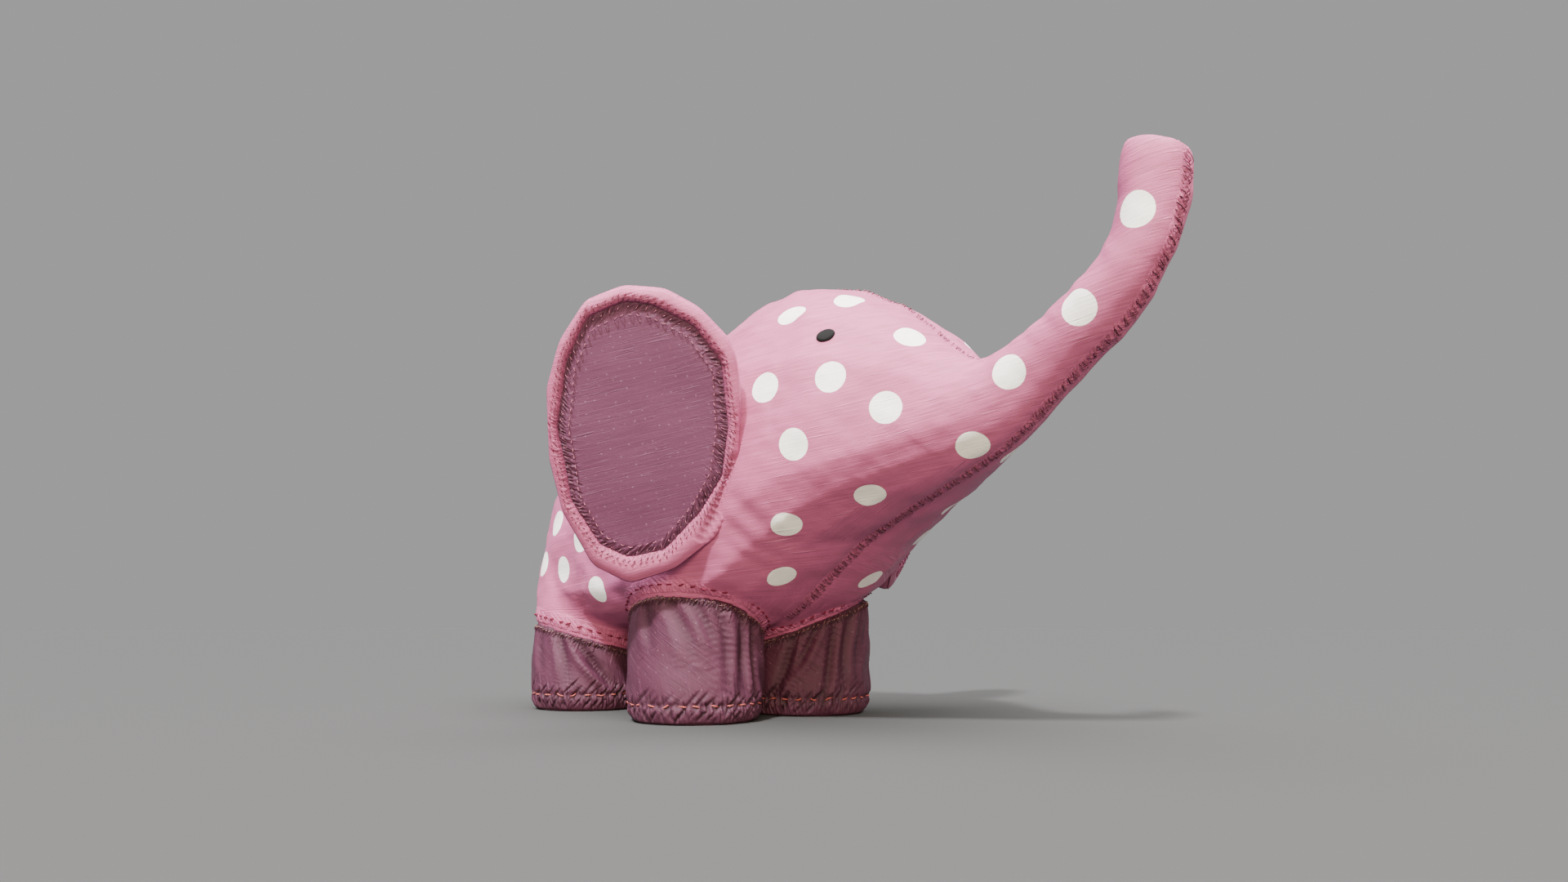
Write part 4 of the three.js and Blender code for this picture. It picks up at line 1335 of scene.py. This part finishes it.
def make_braid():
    """The tail's braid; gives the place of its end."""
    line = evenly(np.array(TAIL_PATH) * MM, 3 * MM)
    for _ in range(2):
        line[1:-1] = (line[:-2] + 2 * line[1:-1] + line[2:]) / 4
    line = evenly(line, BRAID_STEP)
    ahead = unit(np.gradient(line, axis=0))
    run = np.arange(len(line)) * BRAID_STEP
    strands = []
    for k in range(3):
        phase = TURN * (run / BRAID_LENGTH + k / 3)
        lift = 0.95 * MM * np.sin(2 * phase)
        strands.append(np.stack([1.75 * MM * np.sin(phase), line[:, 0] - ahead[:, 1] * lift,
                                 line[:, 1] + ahead[:, 0] * lift], -1))
    obj = tubes("tail_braid", strands, 1.25 * MM * (1 - 0.15 * run / run[-1]), (1, 0, 0))
    finish_piece(obj, PLAIN_PINK, "tail", ["tail"])
    return np.array((0, *line[-1]))


def make_tuft(top):
    rng = np.random.default_rng(601)
    turn = rng.uniform(0, TURN, YARN_COUNT)[:, None]
    out = (np.sqrt(rng.uniform(0, 1, YARN_COUNT)) * TUFT_RADIUS)[:, None]
    drop = (rng.uniform(20, 23.5, YARN_COUNT) * MM)[:, None]
    t = np.linspace(0, 1, YARN_STEPS)
    spread = 0.32 + 0.68 * np.sin(t * math.pi * 0.62) ** 1.2
    x = np.cos(turn) * out * spread + 0.5 * MM * np.sin(t * 9 + turn)
    y = np.sin(turn) * out * spread + 0.5 * MM * np.cos(t * 8 + 2 * turn)
    paths = top + np.stack([x, y, -drop * t], -1)
    obj = tubes("tail_tuft_yarn", paths, 0.5 * MM * (1 - 0.25 * t), (1, 0.3, 0))
    finish_piece(obj, YARN, "tail", ["tail_tuft"])


def make_tie(top):
    """Thread wound round the top of the tuft."""
    angle = np.linspace(0, TURN * TIE_TURNS, 120)
    down = -1.2 * MM - angle / angle[-1] * 3.2 * MM
    wrap = top + np.stack([TIE_RADIUS * np.cos(angle), TIE_RADIUS * np.sin(angle), down], -1)
    finish_piece(tubes("tail_tuft_tie", wrap[None], 0.38 * MM, (0, 0, 1)), CRIMSON, "tail")


tuft_top = make_braid() + np.array((0, 0, 2.6)) * MM
make_tuft(tuft_top)
make_tie(tuft_top)

# ---- floor and light ----
FLOOR_RADIUS = 9
FLOOR_SIDES = 64
FLOOR_COLOUR = (0.0558, 0.056, 0.0565, 1)
WORLD_STRENGTH = 0.372


def make_floor():
    angle = circle(FLOOR_SIDES)
    co = np.stack([FLOOR_RADIUS * np.cos(angle), FLOOR_RADIUS * np.sin(angle), 0 * angle], -1)
    floor = new_piece("floor", co, [list(range(FLOOR_SIDES))])
    s = Shader("floor")
    s.surface["Base Color"].default_value = FLOOR_COLOUR
    s.surface["Roughness"].default_value = 0.95
    s.surface["Specular IOR Level"].default_value = 0.1
    floor.data.materials.append(s.material)


def light(kind, name, place, target, power, colour, size):
    """A sun, whose size is an angle, or a square lamp, whose size is its side."""
    data = bpy.data.lights.new(name, kind)
    data.energy, data.color = power, colour
    if kind == "SUN":
        data.angle = size
    else:
        data.size = size
    lamp = bpy.data.objects.new(name, data)
    lamp.location = place
    lamp.rotation_euler = (Vector(target) - Vector(place)).to_track_quat("-Z", "Y").to_euler()
    bpy.context.scene.collection.objects.link(lamp)


make_floor()
light("SUN", "key", (-0.582, -0.372, 0.723), (0, 0, 0), 9.0, (1, 0.99, 0.975), math.radians(5))
light("SUN", "overhead", (-0.15, -0.25, 1), (0, 0, 0), 12, (1, 0.99, 0.98), math.radians(70))
light("AREA", "warm_fill", (-0.95, -1.25, 0.36), (0, -0.05, 0.08), 33, (1, 0.81, 0.54), 0.5)
world = bpy.data.worlds.new("studio")
world.use_nodes = True
world.node_tree.nodes["Background"].inputs[0].default_value = (1, 1, 1, 1)
world.node_tree.nodes["Background"].inputs[1].default_value = WORLD_STRENGTH
bpy.context.scene.world = world
